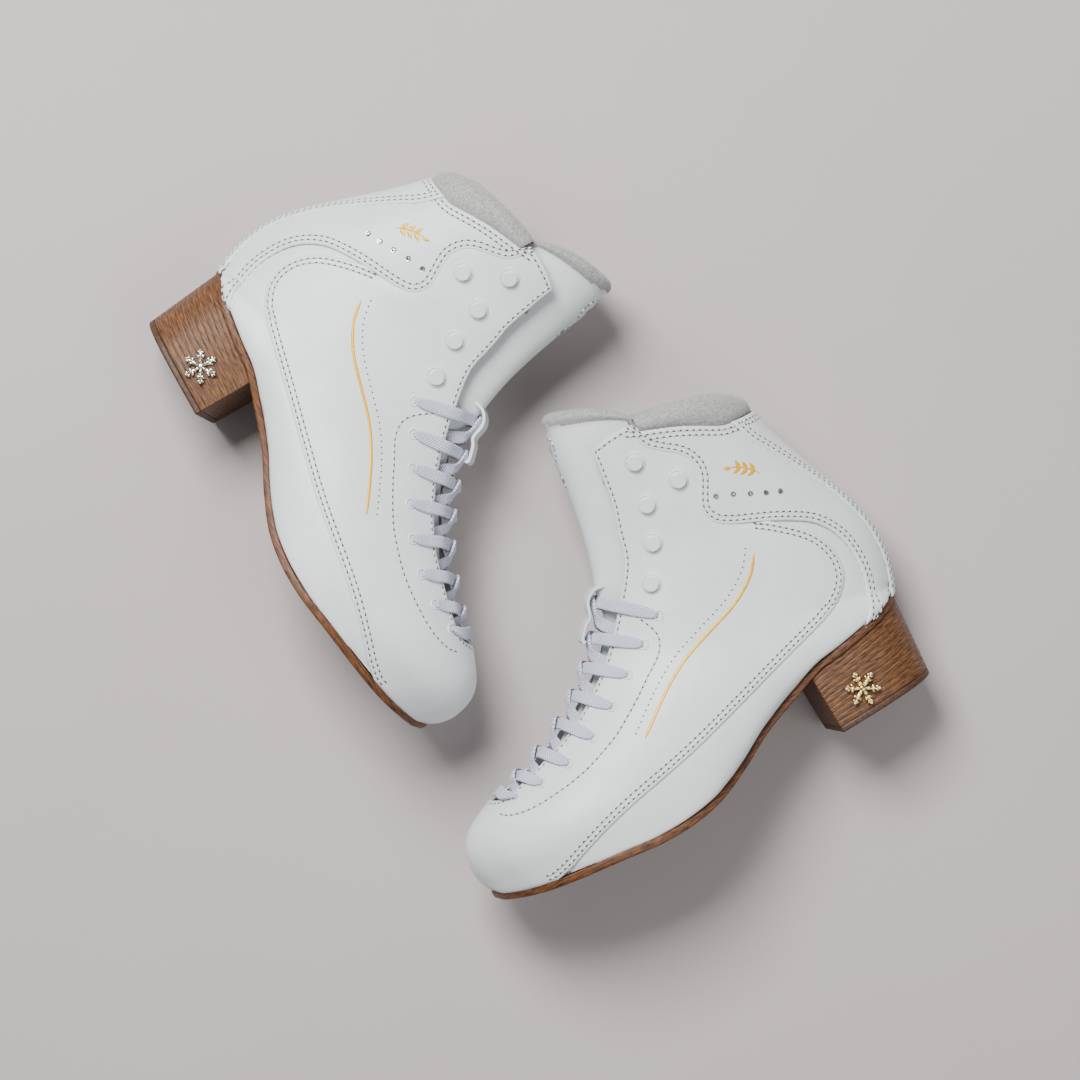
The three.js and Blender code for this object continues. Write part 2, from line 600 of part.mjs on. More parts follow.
function lacePlaces(firstSide) {
  const flat = { width: lace_width, thick: lace_thickness };
  const gathered = { width: lace_width * 0.45, thick: lace_thickness * 1.4 };
  const riding = gap + lace_thickness / 2 + lace_ride;
  const onSkin = (place, side, lift, shape) => {
    const s = skin(place, side, lift);
    return { at: s.point, face: s.normal, ...shape };
  };
  const centre = ([x, z], y, lift) => {
    const at = new THREE.Vector3(x * sx, y - swing(x * sx), z * sz);
    const face = new THREE.Vector3(0.55, 0, 0.83);
    return { at: at.addScaledVector(face, lift), face, ...flat };
  };
  const between = (a, b, k) => [a[0] + (b[0] - a[0]) * k, a[1] + (b[1] - a[1]) * k];
  const dive = (i, side) => [
    onSkin(EYELETS[i], side, riding, gathered),
    onSkin(EYELETS[i], side, -lace_run_depth, gathered),
  ];
  let side = firstSide;
  const places = [centre(LACE_BAR, 0, 0), onSkin([234, 63.5], side, riding + 0.6, flat), ...dive(7, side)];
  for (let i = 6; i >= 0; i--) {
    const under = i + 1;
    const below = i === 6 ? LACE_BAR : CROSSINGS[i + 1];
    const emerge = between(CROSSINGS[i], below, 0.5);
    places.push(onSkin(between(EYELETS[under], emerge, 0.45), side, -lace_run_depth, flat));
    places.push(centre(emerge, side * 5.2, -3.6));
    const lift = side * (lace_thickness * 0.55 + lace_cross_lift);
    places.push(centre(between(CROSSINGS[i], emerge, 0.25), side * 2.4, lift));
    side = -side;
    places.push(centre(CROSSINGS[i], side * 2.4, lift));
    const rise = between(CROSSINGS[i], EYELETS[i], 0.3);
    places.push(onSkin(rise, side, riding + 0.6, flat));
    places.push(onSkin(between(CROSSINGS[i], EYELETS[i], 0.62), side, riding, flat));
    places.push(...dive(i, side));
  }
  return places;
}
const lace = strip(lacePlaces(1)).add(strip(lacePlaces(-1)));

// ---------- heel ornament: a six-armed snow star ----------
function ornament() {
  const shape = new THREE.Shape();
  for (let i = 0; i < 12; i++) {
    const angle = (i * Math.PI) / 6;
    const r = i % 2 ? ornament_radius * 0.42 : ornament_radius;
    const [x, y] = [r * Math.cos(angle), r * Math.sin(angle)];
    if (i) shape.lineTo(x, y);
    else shape.moveTo(x, y);
  }
  const plate = new THREE.ExtrudeGeometry(shape, { depth: ornament_thickness, bevelEnabled: false });
  plate.rotateX(Math.PI / 2);
  const seat = grade(ORNAMENT_AT);
  const drop = 1 - seat.y / (HEEL_TOP * sz);
  const wide = (soleHalf(seat.x) - heel_seat_inset) * (1 - heel_taper * drop);
  return toSolid(plate.translate(seat.x, wide + ornament_gap + ornament_thickness, seat.y));
}

// ---------- one boot ----------
const WHITE = { color: 0xe6eaea, roughness: 0.45, metalness: 0 };
const SUEDE = { color: 0xb4b3b0, roughness: 0.95, metalness: 0 };
const CLOTH = { color: 0xdfe2ee, roughness: 0.85, metalness: 0 };
const BROWN = { color: 0x7a4723, roughness: 0.55, metalness: 0 };
const STACK = { color: 0x8a5a30, roughness: 0.6, metalness: 0 };
const STEEL = { color: 0x9aa0a6, roughness: 0.35, metalness: 1 };
const GOLD = { color: 0xd9a92e, roughness: 0.3, metalness: 1 };
const BOARD = { color: 0xb08a5c, roughness: 0.9, metalness: 0 };
const PIECES = [
  ['outsole', outsole, BROWN],
  ['heel_block', heel, STACK],
  ['heel_top_lift', topLift, BROWN],
  ['insole_board', insoleBoard, BOARD],
  ['shank', shank, STEEL],
  ['footbed', footbed, SUEDE],
  ['heel_counter', heelCounter, BOARD],
  ['toe_box', toeBox, BOARD],
  ['lining', liningSolid, SUEDE],
  ['backstay', backstay, WHITE],
  ['ankle_panel_outer', sideOf(anklePanels, 1), WHITE],
  ['ankle_panel_inner', sideOf(anklePanels, -1), WHITE],
  ['foxing_outer', sideOf(foxing, 1), WHITE],
  ['foxing_inner', sideOf(foxing, -1), WHITE],
  ['vamp_quarter', vampQuarter, WHITE],
  ...STUDS.map((place, i) => [`lace_stud_outer_${i + 1}`, stud(place, 1), WHITE]),
  ...STUDS.map((place, i) => [`lace_stud_inner_${i + 1}`, stud(place, -1), WHITE]),
  ['collar_pad', collarPad, SUEDE],
  ['tongue_lower', tongueLower.add(keeper), WHITE],
  ['tongue_upper', tongueUpper, WHITE],
  ['lace', lace, CLOTH],
  ['heel_ornament', ornament(), GOLD],
];

function makeBoot(name) {
  const boot = new THREE.Group();
  for (const [part, solid, look] of PIECES) {
    const mesh = new THREE.Mesh(toGeometry(solid), new THREE.MeshStandardMaterial(look));
    mesh.name = `${name}_${part}`;
    boot.add(mesh);
  }
  return boot;
}

// ---------- laying the boots on their inner sides ----------
// each boot rests on the inner edges of its heel and ball and on its inner collar
const restHeel = new THREE.Vector3(38 * sx, -(soleHalf(38 * sx) - heel_seat_inset) * (1 - heel_taper), 0);
const restBall = new THREE.Vector3(190 * sx, -soleHalf(190 * sx) - swing(190 * sx), 6 * sz);
const restCollar = new THREE.Vector3(62 * sx, -40 * width_scale, 184 * sz);
const restNormal = restBall.clone().sub(restHeel).cross(restCollar.clone().sub(restHeel)).normalize();
if (restNormal.y < 0) restNormal.negate();

// heading of the toe in degrees, then the heel's place at scale 1
const LEFT_PLACE = [211.5, 212.3, -67.7];
const RIGHT_PLACE = [-60.5, -210.7, 120.8];

function lay(boot, side, headingDeg, x, y) {
  const up = restNormal.clone();
  const toe = new THREE.Vector3(1, 0, 0).addScaledVector(up, -up.x).normalize();
  const aside = up.clone().cross(toe);
  const toBench = new THREE.Matrix4().makeBasis(toe, aside, up).transpose();
  const flip = new THREE.Matrix4().makeScale(1, side, 1);
  const heading = new THREE.Matrix4().makeRotationZ(THREE.MathUtils.degToRad(headingDeg));
  boot.applyMatrix4(heading.multiply(flip).multiply(toBench));
  boot.position.set(x * sx, y * sx, 0);
  boot.updateMatrixWorld(true);
  boot.position.z = -new THREE.Box3().setFromObject(boot, true).min.z;
  boot.updateMatrixWorld(true);
}

const pair = new THREE.Group();
const left = makeBoot('left');
const right = makeBoot('right');
lay(left, 1, ...LEFT_PLACE);
lay(right, -1, ...RIGHT_PLACE);
pair.add(left, right);
pair.updateMatrixWorld(true);
const span = new THREE.Box3().setFromObject(pair, true);
pair.position.set(-(span.min.x + span.max.x) / 2, -(span.min.y + span.max.y) / 2, -span.min.z);
pair.updateMatrixWorld(true);

export default pair;
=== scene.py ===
"""A pair of white leather figure-skating boots with stacked heels, lying on their inner sides.

Each boot is drawn in its own upright frame, in millimetres: x from heel to toe, y to the outer side,
z up. Boot.world() carries it into the row frame, in metres. The upper is one surface that rings
describe from the collar round the instep to the toe, and every panel is cut out of that surface.
"""

import json
import math

import bpy
import numpy as np
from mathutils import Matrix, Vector, geometry


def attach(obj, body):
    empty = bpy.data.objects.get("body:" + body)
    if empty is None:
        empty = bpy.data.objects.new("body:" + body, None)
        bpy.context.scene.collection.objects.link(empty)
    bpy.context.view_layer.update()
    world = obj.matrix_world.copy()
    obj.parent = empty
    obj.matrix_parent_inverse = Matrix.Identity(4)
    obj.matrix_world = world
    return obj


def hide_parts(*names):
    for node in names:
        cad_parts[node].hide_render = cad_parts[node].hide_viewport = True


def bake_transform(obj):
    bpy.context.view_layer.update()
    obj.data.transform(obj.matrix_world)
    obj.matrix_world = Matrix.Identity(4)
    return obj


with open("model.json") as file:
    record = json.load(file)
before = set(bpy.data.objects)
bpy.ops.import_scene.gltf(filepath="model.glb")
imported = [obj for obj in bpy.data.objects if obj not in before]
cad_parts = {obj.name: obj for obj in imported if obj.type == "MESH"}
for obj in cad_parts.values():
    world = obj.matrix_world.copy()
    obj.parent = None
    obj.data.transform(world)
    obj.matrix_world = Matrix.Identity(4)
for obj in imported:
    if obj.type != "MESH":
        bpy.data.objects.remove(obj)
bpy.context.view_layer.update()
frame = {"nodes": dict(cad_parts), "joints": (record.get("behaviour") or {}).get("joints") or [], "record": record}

MM = 0.001
SIDES = (1, -1)
HINGE = (134.6, 134.0)
WELT = 1.2
SEAT_RING, TOE_RING = 8, 19
TIP_RING, TIP_FACING = 20.9, (0.98, 0.0, 0.2)
TOE_SWING = 6.0
LINING_IN = 4.6
HEEL_TOP, HEEL_FRONT, HEEL_TAPER, HEEL_BACK_LEAN, SEAT_INSET = 48.5, 65.0, 0.05, 5.0, 0.8
LIFT = 3.3
SOLE, SOLE_RISE = 4.0, 0.4


# ---------- the boots' places in the row frame ----------


class Boot:
    """One boot's frame, found from its hinge and from the flat bottom of its heel."""

    def __init__(self, name):
        joint = next(j for j in frame["joints"] if j["name"] == name + "_tongue_hinge")
        face = next(m for m in frame["record"]["mounts"] if m["name"] == name + "_heel_blade_face")
        self.name = name
        self.mirrored = name == "right"
        up = -np.array(face["axis"], float)
        out = np.array(joint["axis"], float) * (-1 if self.mirrored else 1)
        toe = np.cross(up, out) if self.mirrored else np.cross(out, up)
        self.turn = np.stack([v / np.linalg.norm(v) for v in (toe, out, up)], axis=1)
        self.origin = np.array(joint["pos_m"]) - self.turn @ (np.array([HINGE[0], 0, HINGE[1]]) * MM)

    def world(self, points):
        return np.asarray(points, float) * MM @ self.turn.T + self.origin


BOOTS = [Boot("left"), Boot("right")]


# ---------- the last's surface ----------
# back point x, z; front point x, z; greatest half width; how far the widest place lies towards the back
STATIONS = np.array([
    (24, 192, 114, 231, 41, 1.3), (18, 173, 122.5, 208, 39.5, 1.3), (12.5, 152, 126.5, 184, 36.5, 1.3),
    (3, 123.5, 131, 162, 33.5, 1.25), (-4, 103, 136, 145, 32, 1.2), (-7.4, 84, 142.5, 129.5, 31.8, 1.15),
    (-6.5, 68, 149.5, 116.5, 32.3, 1.1), (-3, 55.5, 156.5, 107, 33, 1.1), (0, 49, 162, 101, 33.5, 1.1),
    (8, 46.3, 167.5, 96.3, 34, 1.12), (24, 42.7, 174, 91.7, 35, 1.15), (46, 40, 181.5, 87, 36.5, 1.2),
    (72, 35, 189.5, 82.5, 38.5, 1.25), (98, 26, 198, 78.8, 40.5, 1.35), (124, 14, 207.5, 75, 42.5, 1.45),
    (150, 6.8, 217.5, 71.5, 43.5, 1.55), (177, 6.7, 228, 68.5, 43.5, 1.6), (202, 10.3, 239, 65, 41.5, 1.6),
    (224, 13.3, 249, 61.3, 37, 1.6), (242, 15.7, 257, 57.5, 29.5, 1.5), (254, 18.3, 262.8, 52.5, 20.5, 1.4),
    (261.5, 21, 266.3, 46, 11.5, 1.2), (266.8, 27.5, 268.3, 37, 0, 1),
])
LAST = len(STATIONS) - 1
FEATHER = [(-2, 49.6), (0, 49), (10, 46), (20, 43.5), (45, 40), (60, 38.5), (80, 32), (100, 25), (120, 15.5),
           (140, 8.5), (160, 6.1), (180, 7), (200, 10), (240, 15), (260, 20), (265, 23), (272, 28)]
SOLE_PLAN = [(0, 0), (1.5, 10), (8, 20), (20, 27), (38, 30), (60, 29.5), (90, 27.5), (118, 29.5),
             (145, 36.5), (170, 42), (190, 43.5), (210, 41.5), (230, 35.5), (246, 26.5), (257, 16.5),
             (263, 8.5), (265.8, 0)]


def spline(values, at):
    """A smooth curve through the values, at places counted in values."""
    values = np.asarray(values, float)
    last = len(values) - 1
    at = np.clip(np.asarray(at, float), 0, last)
    i = np.minimum(at.astype(int), last)
    w = (at - i)[..., None] if values.ndim > 1 else at - i
    p0, p1 = values[np.maximum(i - 1, 0)], values[i]
    p2, p3 = values[np.minimum(i + 1, last)], values[np.minimum(i + 2, last)]
    v0, v1 = (p2 - p0) / 2, (p3 - p1) / 2
    return (2 * p1 - 2 * p2 + v0 + v1) * w**3 + (3 * p2 - 3 * p1 - 2 * v0 - v1) * w**2 + v0 * w + p1


def smooth(points, count=160):
    return spline(points, np.linspace(0, len(points) - 1, count))


def arc_length(path):
    return np.r_[0, np.cumsum(np.linalg.norm(np.diff(path, axis=0), axis=1))]


def resample(at, known, values):
    """Rows of values at new places, from the rows at the known places."""
    return np.stack([np.interp(at, known, column) for column in np.asarray(values).T], axis=1)


FEATHER_LINE = smooth(FEATHER, 300)
PLAN_LINE = smooth(SOLE_PLAN, 400)


def feather(x):
    return np.interp(x, FEATHER_LINE[:, 0], FEATHER_LINE[:, 1])


def sole_half(x):
    return np.interp(x, PLAN_LINE[:, 0], np.maximum(PLAN_LINE[:, 1], 0), left=0, right=0)


def swing(x):
    return TOE_SWING * np.clip((x - 150) / 118, 0, 1) ** 2


def shape(t, phi, inset=(0, 0, 0)):
    """The surface at ring t and angle phi: 0 at the back or sole, pi at the front, below 0 on the inner side.
    inset is how far the front, the sides and the back are set in."""
    t, phi = np.broadcast_arrays(np.asarray(t, float), np.asarray(phi, float))
    front_in, side_in, back_in = inset
    s = spline(STATIONS, t)
    back, front = s[..., 0:2], s[..., 2:4]
    chord = front - back
    chord = chord / np.linalg.norm(chord, axis=-1, keepdims=True)
    half = np.maximum(0, s[..., 4] - side_in)
    edge = np.where(t > SEAT_RING, np.maximum(0, sole_half(back[..., 0]) - WELT - side_in), 0)
    toe = np.clip((t - TOE_RING) / (LAST - TOE_RING), 0, 1) * side_in
    back = back + chord * np.asarray(back_in)[..., None]
    front = front - chord * np.asarray(front_in)[..., None]
    angle = np.abs(phi)
    u = ((1 - np.cos(angle)) / 2) ** s[..., 5]
    y = np.where(angle < math.pi / 2, edge + (half - edge) * np.sin(angle), half * np.sin(angle))
    x = back[..., 0] + (front[..., 0] - back[..., 0]) * u - toe
    z = back[..., 1] + (front[..., 1] - back[..., 1]) * u
    return np.stack([x, np.where(phi < 0, -y, y) - swing(x), z], axis=-1)


def find(points):
    """The ring and the angle at places in side view."""
    points = np.asarray(points, float).reshape(-1, 2)
    low, high = np.zeros(len(points)), np.full(len(points), float(LAST))
    for _ in range(40):
        t = (low + high) / 2
        s = spline(STATIONS, t)
        chord, reach = s[:, 2:4] - s[:, 0:2], points - s[:, 0:2]
        ahead = chord[:, 0] * reach[:, 1] - chord[:, 1] * reach[:, 0] < 0
        low, high = np.where(ahead, t, low), np.where(ahead, high, t)
    u = np.clip((chord * reach).sum(1) / (chord**2).sum(1), 0, 1)
    return t, np.arccos(np.clip(1 - 2 * u ** (1 / s[:, 5]), -1, 1))


# A chart lays the surface out flat as (ring, angle). "front" counts the angle from the front
# centre line and "back" from the back, and in both it is negative on the inner side, so that an angle
# is kept just off nought where the two sides part.
LEAST_ANGLE = 0.003
RING_STEP, ANGLE_STEP = 0.01, 0.004
FIRST_RING, TIP_GAP = 0.02, 0.06


def ease(k):
    k = np.clip(k, 0, 1)
    return k * k * (3 - 2 * k)


def from_chart(chart, at, inset=(0, 0, 0)):
    at = np.asarray(at, float)
    v = at[..., 1]
    phi = v if chart == "back" else np.where(v < 0, -1, 1) * np.maximum(math.pi - np.abs(v), LEAST_ANGLE / 9)
    return shape(at[..., 0], phi, inset)


def to_chart(chart, points, side=1):
    t, angle = find(points)
    angle = np.maximum(angle, LEAST_ANGLE)
    return np.stack([t, side * (angle if chart == "back" else math.pi - angle)], axis=1)


def slopes(chart, at, inset=(0, 0, 0)):
    """How the surface moves with each chart number, and its normal, which points out."""
    at = np.asarray(at, float)
    dt, dv = np.array([RING_STEP, 0]), np.array([0, ANGLE_STEP])
    low, high = np.clip(at[..., 0], FIRST_RING, LAST - TIP_GAP), at[..., 1]
    at = np.stack([low, high], axis=-1)
    a = (from_chart(chart, at + dt, inset) - from_chart(chart, at - dt, inset)) / (2 * RING_STEP)
    b = (from_chart(chart, at + dv, inset) - from_chart(chart, at - dv, inset)) / (2 * ANGLE_STEP)
    n = np.cross(a, b)
    n = n / np.maximum(np.linalg.norm(n, axis=-1, keepdims=True), 1e-9)
    n = n if chart == "front" else -n
    # the last ring closes to a line, where both sides have to face the same way
    k = ease((at[..., 0] - TIP_RING) / (LAST - TIP_GAP - TIP_RING))[..., None]
    n = n * (1 - k) + np.array(TIP_FACING) * k
    return a, b, n / np.linalg.norm(n, axis=-1, keepdims=True)


def on_skin(chart, at, height=0.0, inset=(0, 0, 0)):
    return from_chart(chart, at, inset) + slopes(chart, at, inset)[2] * np.asarray(height)[..., None]


def even(chart, path, step, inset=(0, 0, 0)):
    """The path again, with its points evenly spaced along the surface."""
    at = np.linspace(0, len(path) - 1, 6 * len(path))
    dense = resample(at, np.arange(len(path)), path)
    length = arc_length(from_chart(chart, dense, inset))
    count = max(2, int(round(length[-1] / step)) + 1)
    return resample(np.linspace(0, length[-1], count), length, dense)


# set_in's moves: how many, the longest in millimetres and in either chart number, and the damping
# that keeps a move finite where the chart is pinched
SET_IN_MOVES, LONGEST_MOVE, LONGEST_CHART_MOVE, DAMPING = 30, 0.7, 0.12, 0.02


def set_in(chart, path, distance, turn):
    """The path moved sideways over the surface; turn is 1 to its left in the chart and -1 to its right."""
    start = from_chart(chart, path)
    along = np.gradient(path, axis=0)
    left = np.stack([-along[:, 1], along[:, 0]], axis=1) * turn
    a, b, n = slopes(chart, path)
    aside = np.cross(n, along[:, :1] * a + along[:, 1:] * b)
    aside /= np.maximum(np.linalg.norm(aside, axis=1, keepdims=True), 1e-9)
    sign = None
    at = path.copy()
    for _ in range(SET_IN_MOVES):
        a, b, _ = slopes(chart, at)
        jac = np.stack([a, b], axis=-1)
        square = np.einsum("nik,nil->nkl", jac, jac) + DAMPING * np.eye(2)
        move = np.linalg.solve(square, np.einsum("nik,ni->nk", jac, aside)[..., None])[..., 0]
        if sign is None:
            sign = np.where((move * left).sum(1) < 0, -1, 1)[:, None]
        rest = distance - np.linalg.norm(from_chart(chart, at) - start, axis=1)
        step = sign * move * np.clip(rest, 0, LONGEST_MOVE)[:, None]
        at = at + np.clip(step, -LONGEST_CHART_MOVE, LONGEST_CHART_MOVE)
    return at


# ---------- meshes ----------


def add_mesh(name, points, faces, materials, boot=None, body="root", slot=None, uv=None, part=None,
             sharp=None):
    """A mesh object from points in millimetres. part gives each face's material."""
    mesh = bpy.data.meshes.new(name)
    places = boot.world(points) if boot else np.asarray(points, float) * MM
    faces = [tuple(f) for f in faces]
    if boot and boot.mirrored:
        faces = [f[::-1] for f in faces]
    mesh.from_pydata([tuple(p) for p in places], [], faces)
    for m in materials if isinstance(materials, (list, tuple)) else [materials]:
        mesh.materials.append(m)
    if part is not None:
        mesh.polygons.foreach_set("material_index", np.asarray(part, np.int32))
    if uv is not None:
        layer = mesh.uv_layers.new(name="grain")
        index = np.zeros(len(mesh.loops), np.int32)
        mesh.loops.foreach_get("vertex_index", index)
        layer.data.foreach_set("uv", np.asarray(uv, np.float32)[index].ravel())
    mesh.polygons.foreach_set("use_smooth", np.ones(len(mesh.polygons), bool))
    if sharp is not None:
        mesh.set_sharp_from_angle(angle=math.radians(sharp))
    mesh.update()
    piece = bpy.data.objects.new(name, mesh)
    bpy.context.scene.collection.objects.link(piece)
    if body:
        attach(piece, body)
    return piece


def triangulate(outline, inner, scale=(1, 1)):
    """Triangles that fill an outline and use the inner points."""
    scale = np.asarray(scale, float)
    flat = np.vstack([outline, inner]) * scale if len(inner) else outline * scale
    n = len(outline)
    edges = [(i, (i + 1) % n) for i in range(n)]
    found = geometry.delaunay_2d_cdt([Vector(p) for p in flat], edges, [list(range(n))], 1, 1e-6)
    faces = np.array([tuple(f) for f in found[2]])
    used, faces = np.unique(faces, return_inverse=True)
    return np.array([tuple(p) for p in found[0]])[used] / scale, [tuple(f) for f in faces.reshape(-1, 3)]


def nearest(points, line):
    """Each point's distance to a line of close points."""
    result = np.empty(len(points))
    for i in range(0, len(points), 2000):
        block = points[i : i + 2000]
        result[i : i + 2000] = np.sqrt(((block[:, None] - line[None]) ** 2).sum(-1).min(1))
    return result


CHART_SCALE = (14.0, 42.0)
ROWS = (0.3, 0.8, 1.4, 2.2, 3.3, 4.7, 6.0)
EDGE_HEIGHTS = {
    "cut": ((0, 0.3, 0.8, 1.4, 2.2, 3.3, 4.7, 6.0), (-1.5, -0.28, -0.03, 0.04, -0.12, 0.03, -0.1, 0)),
    "single": ((0, 0.3, 0.8, 1.4, 2.2, 3.3, 4.7, 6.0), (-1.5, -0.28, -0.03, 0.04, -0.12, 0.02, 0, 0)),
    "tuck": ((0, 2, 4, 7), (-1.7, -1.1, -0.5, 0)),
    "sole": ((0, 0.4, 1.2, 2.4), (-0.7, -0.4, -0.1, 0)),
}


def signed_area(path):
    x, y = path[:, 0], path[:, 1]
    return ((x * np.roll(y, -1)) - (np.roll(x, -1) * y)).sum() / 2


def panel(chart, segments, thick, grid=4.2, inset=(0, 0, 0)):
    """A panel of leather cut out of the surface: its points and triangles, and each edge's path with
    the side its leather lies on. segments are (path, kind), kind one of EDGE_HEIGHTS or "plain"."""
    paths = [(even(chart, path, 1.8, inset), kind) for path, kind in segments]
    outline = np.vstack([path[:-1] for path, _ in paths])
    turn = 1 if signed_area(outline * CHART_SCALE) > 0 else -1
    edges = {}
    for path, kind in paths:
        if kind != "plain":
            line = from_chart(chart, even(chart, path, 0.5, inset), inset)
            edges[kind] = np.vstack([edges[kind], line]) if kind in edges else line
    every = np.vstack(list(edges.values()))
    inner = []
    for distance in ROWS:
        for path, kind in paths:
            if kind != "plain":
                row = set_in(chart, path, distance, turn)
                row = row[nearest(from_chart(chart, row, inset), every) > 0.8 * distance]
                inner.append(row)
    low, high = outline.min(0), outline.max(0)
    steps = (high - low) * CHART_SCALE / grid
    t, v = np.meshgrid(*(np.linspace(low[k], high[k], int(steps[k]) + 2) for k in (0, 1)))
    mesh_points = np.stack([t.ravel(), v.ravel()], axis=1)
    mesh_points = mesh_points[nearest(from_chart(chart, mesh_points, inset), every) > ROWS[-1] + 1.2]
    inner.append(mesh_points)
    inner = np.vstack(inner)
    inside = (inner > low + 1e-6).all(1) & (inner < high - 1e-6).all(1)
    at, faces = triangulate(outline, inner[inside], CHART_SCALE)
    places = from_chart(chart, at, inset)
    height = np.full(len(at), float(thick))
    for kind, line in edges.items():
        distance, drop = EDGE_HEIGHTS[kind]
        height = np.minimum(height, thick + np.interp(nearest(places, line), distance, drop))
    points = places + slopes(chart, at, inset)[2] * height[:, None]
    # chart triangles are counted anticlockwise, which faces out on the front chart
    if chart == "back":
        faces = [f[::-1] for f in faces]
    return points, faces, [(path, turn) for path, _ in paths], every


def join(*meshes):
    """Several (points, faces) as one."""
    points, faces, count = [], [], 0
    for some, more in meshes:
        points.append(np.asarray(some, float))
        faces += [tuple(i + count for i in f) for f in more]
        count += len(some)
    return np.vstack(points), faces


def loft(rings, closed=True, cap=False):
    """Faces between rings of equal numbers of points."""
    rings = np.asarray(rings, float)
    n, m = rings.shape[:2]
    faces = []
    for i in range(n - 1):
        for j in range(m if closed else m - 1):
            a, b = i * m + j, i * m + (j + 1) % m
            faces.append((a, b, b + m, a + m))
    if cap:
        faces += [tuple(range(m))[::-1], tuple(range((n - 1) * m, n * m))]
    return rings.reshape(-1, 3), faces


def frames(points, faces_up):
    """Along, across and up directions at each point of a path that faces the given way."""
    along = np.gradient(points, axis=0)
    along /= np.linalg.norm(along, axis=1, keepdims=True)
    across = np.cross(along, faces_up)
    across /= np.linalg.norm(across, axis=1, keepdims=True)
    return along, across, np.cross(across, along)


def tube(points, ups, width, height, sides=8):
    """A flattened tube along a path, closed at both ends."""
    _, across, up = frames(points, ups)
    angle = np.linspace(0, 2 * math.pi, sides, endpoint=False)
    size = np.minimum(1, np.minimum(np.arange(len(points)), np.arange(len(points))[::-1]) * 0.5 + 0.35)
    ring = (
        points[:, None]
        + across[:, None] * (np.cos(angle)[None, :, None] * width / 2 * size[:, None, None])
        + up[:, None] * (np.sin(angle)[None, :, None] * height / 2 * size[:, None, None])
    )
    return loft(ring, cap=True)


# ---------- stitches ----------
STITCH_PITCH, STITCH_LENGTH, STITCH_WIDTH = 3.45, 2.1, 1.0
HOLE_LENGTH, HOLE_WIDTH = 1.9, 0.95


def stitch_row(chart, path, height, inset=(0, 0, 0)):
    """Raised threads along a path, and the needle holes between them, which are drawn as dark marks of painted
    shade.
    """
    path = even(chart, path, STITCH_PITCH / 3, inset)
    count = (len(path) - 1) // 3
    middle = path[1 : 3 * count : 3]
    gap = path[0 : 3 * count + 1 : 3]
    threads, holes = [], []
    for at, size, kind in ((middle + (path[2 : 3 * count + 1 : 3] - middle) / 2, STITCH_LENGTH, threads),
                           (gap, HOLE_LENGTH, holes)):
        centre = on_skin(chart, at, height, inset)
        normal = slopes(chart, at, inset)[2]
        along, across, up = frames(centre, normal)
        for c, a, b, n in zip(centre, along, across, up):
            kind.append((c, a * size / 2, b, n))
    return threads, holes


def thread_mesh(stitches):
    """One rounded thread for each stitch."""
    meshes = []
    angle = np.linspace(0, 2 * math.pi, 6, endpoint=False)
    for centre, half, across, up in stitches:
        rings = []
        for place, size in ((-1, 0.35), (-0.75, 0.85), (0, 1), (0.75, 0.85), (1, 0.35)):
            middle = centre + half * place + up * (0.18 * (1 - place**2) - 0.12)
            width = STITCH_WIDTH * size
            rings.append([middle + (across * math.cos(q) * 0.5 + up * math.sin(q) * 0.38) * width
                          for q in angle])
        meshes.append(loft(rings, cap=True))
    return join(*meshes)


def hole_shade_mesh(stitches, width=HOLE_WIDTH, sides=8):
    """Painted shade for each hole: a dark ring on the leather and its sunken middle, in place of the shade inside
    the hole.
    """
    meshes = []
    angle = np.linspace(0, 2 * math.pi, sides, endpoint=False)
    for centre, half, across, up in stitches:
        rim = [centre + half * math.cos(q) + across * math.sin(q) * width / 2 + up * 0.05 for q in angle]
        points = rim + [centre - up * 0.02]
        meshes.append((points, [(i, (i + 1) % sides, sides) for i in range(sides)]))
    points, faces = join(*meshes)
    return points, [f[::-1] for f in faces]


# ---------- materials ----------


